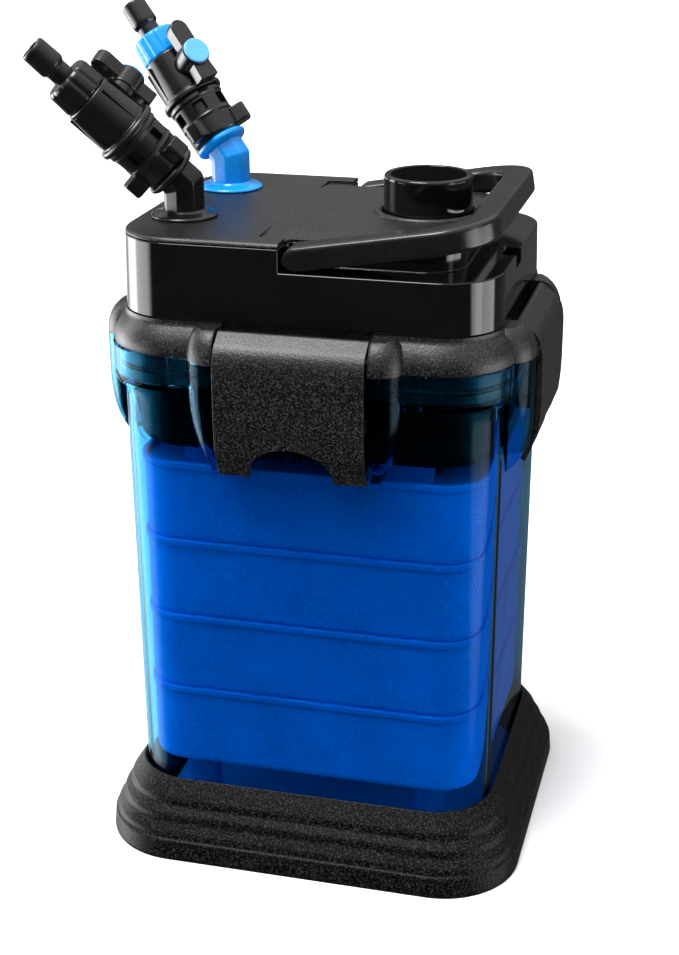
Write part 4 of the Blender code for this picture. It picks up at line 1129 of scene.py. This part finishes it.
def make_world():
    """White from above. Below the horizon, which only reflections and clear plastic see past the
    floor, it is dark in front, with a bright strip at each side, and bright behind the left edge."""
    world = bpy.data.worlds.new("studio")
    bpy.context.scene.world = world
    world.use_nodes = True
    tree = world.node_tree
    shade = tree.nodes["Background"]
    place = tree.nodes.new("ShaderNodeTexCoord").outputs["Generated"]
    split = tree.nodes.new("ShaderNodeSeparateXYZ")
    tree.links.new(place, split.inputs["Vector"])
    above = ranged(tree, split.outputs["Z"], -0.02, 0.02, 0.0, 1.0)
    sky = ranged(tree, split.outputs["Z"], 0.2, 0.85, 0.14, 1.45)
    back = ranged(tree, split.outputs["Y"], -0.2, 0.6, 0.010, 0.10)
    left = ranged(tree, split.outputs["X"], -0.76, -0.86, 0.0, 6.0)
    right = ranged(tree, split.outputs["X"], 0.85, 0.89, 0.0, 4.0)
    edge = ranged(tree, split.outputs["X"], -0.20, -0.32, 0.0, 1.1)
    behind = ranged(tree, split.outputs["Y"], 0.50, 0.70, 0.0, 1.0)
    low = calculated(tree, "MULTIPLY", edge, behind)
    for share in (back, left, right):
        low = calculated(tree, "ADD", low, share)
    level = tree.nodes.new("ShaderNodeMix")
    for value, socket in ((above, 0), (low, 2), (sky, 3)):
        tree.links.new(value, level.inputs[socket])
    tree.links.new(level.outputs[0], shade.inputs["Strength"])
    shade.inputs["Color"].default_value = (1.0, 1.0, 1.0, 1.0)


def area_light(name, place, target, size, power):
    light = bpy.data.lights.new(name, "AREA")
    light.shape = "RECTANGLE"
    light.size, light.size_y = size
    light.energy = power
    obj = bpy.data.objects.new(name, light)
    obj.location = place
    obj.rotation_euler = (Vector(target) - Vector(place)).to_track_quat("-Z", "Y").to_euler()
    obj.visible_camera = False
    bpy.context.scene.collection.objects.link(obj)


def make_sun():
    sun = bpy.data.lights.new("overhead", "SUN")
    sun.energy = 3.8
    sun.angle = math.radians(30)
    overhead = bpy.data.objects.new("overhead", sun)
    towards = Vector((-0.236, -0.256, 0.935))
    overhead.rotation_euler = towards.to_track_quat("Z", "Y").to_euler()
    bpy.context.scene.collection.objects.link(overhead)


def make_camera():
    camera = bpy.data.cameras.new("camera")
    camera.sensor_fit = "VERTICAL"
    camera.sensor_height = 36.0
    camera.lens = 65.24
    obj = bpy.data.objects.new("camera", camera)
    place, target = Vector((0.2663, -1.0180, 0.6449)), Vector((0.0, 0.0, 0.2284))
    roll = Matrix.Rotation(math.radians(-0.249), 4, "Z")
    turned_to = (target - place).to_track_quat("-Z", "Y").to_matrix().to_4x4()
    obj.matrix_world = Matrix.Translation(place) @ turned_to @ roll
    bpy.context.scene.collection.objects.link(obj)
    bpy.context.scene.camera = obj


make_floor()
make_world()
make_sun()
area_light("left_strip", (-1.1, 0.1, 0.45), (0.0, 0.0, 0.25), (0.35, 1.0), 6.0)
area_light("right_strip", (1.2, -0.3, 0.5), (0.0, 0.0, 0.25), (0.3, 1.0), 1.8)
make_camera()
bpy.context.scene.view_settings.view_transform = "Standard"
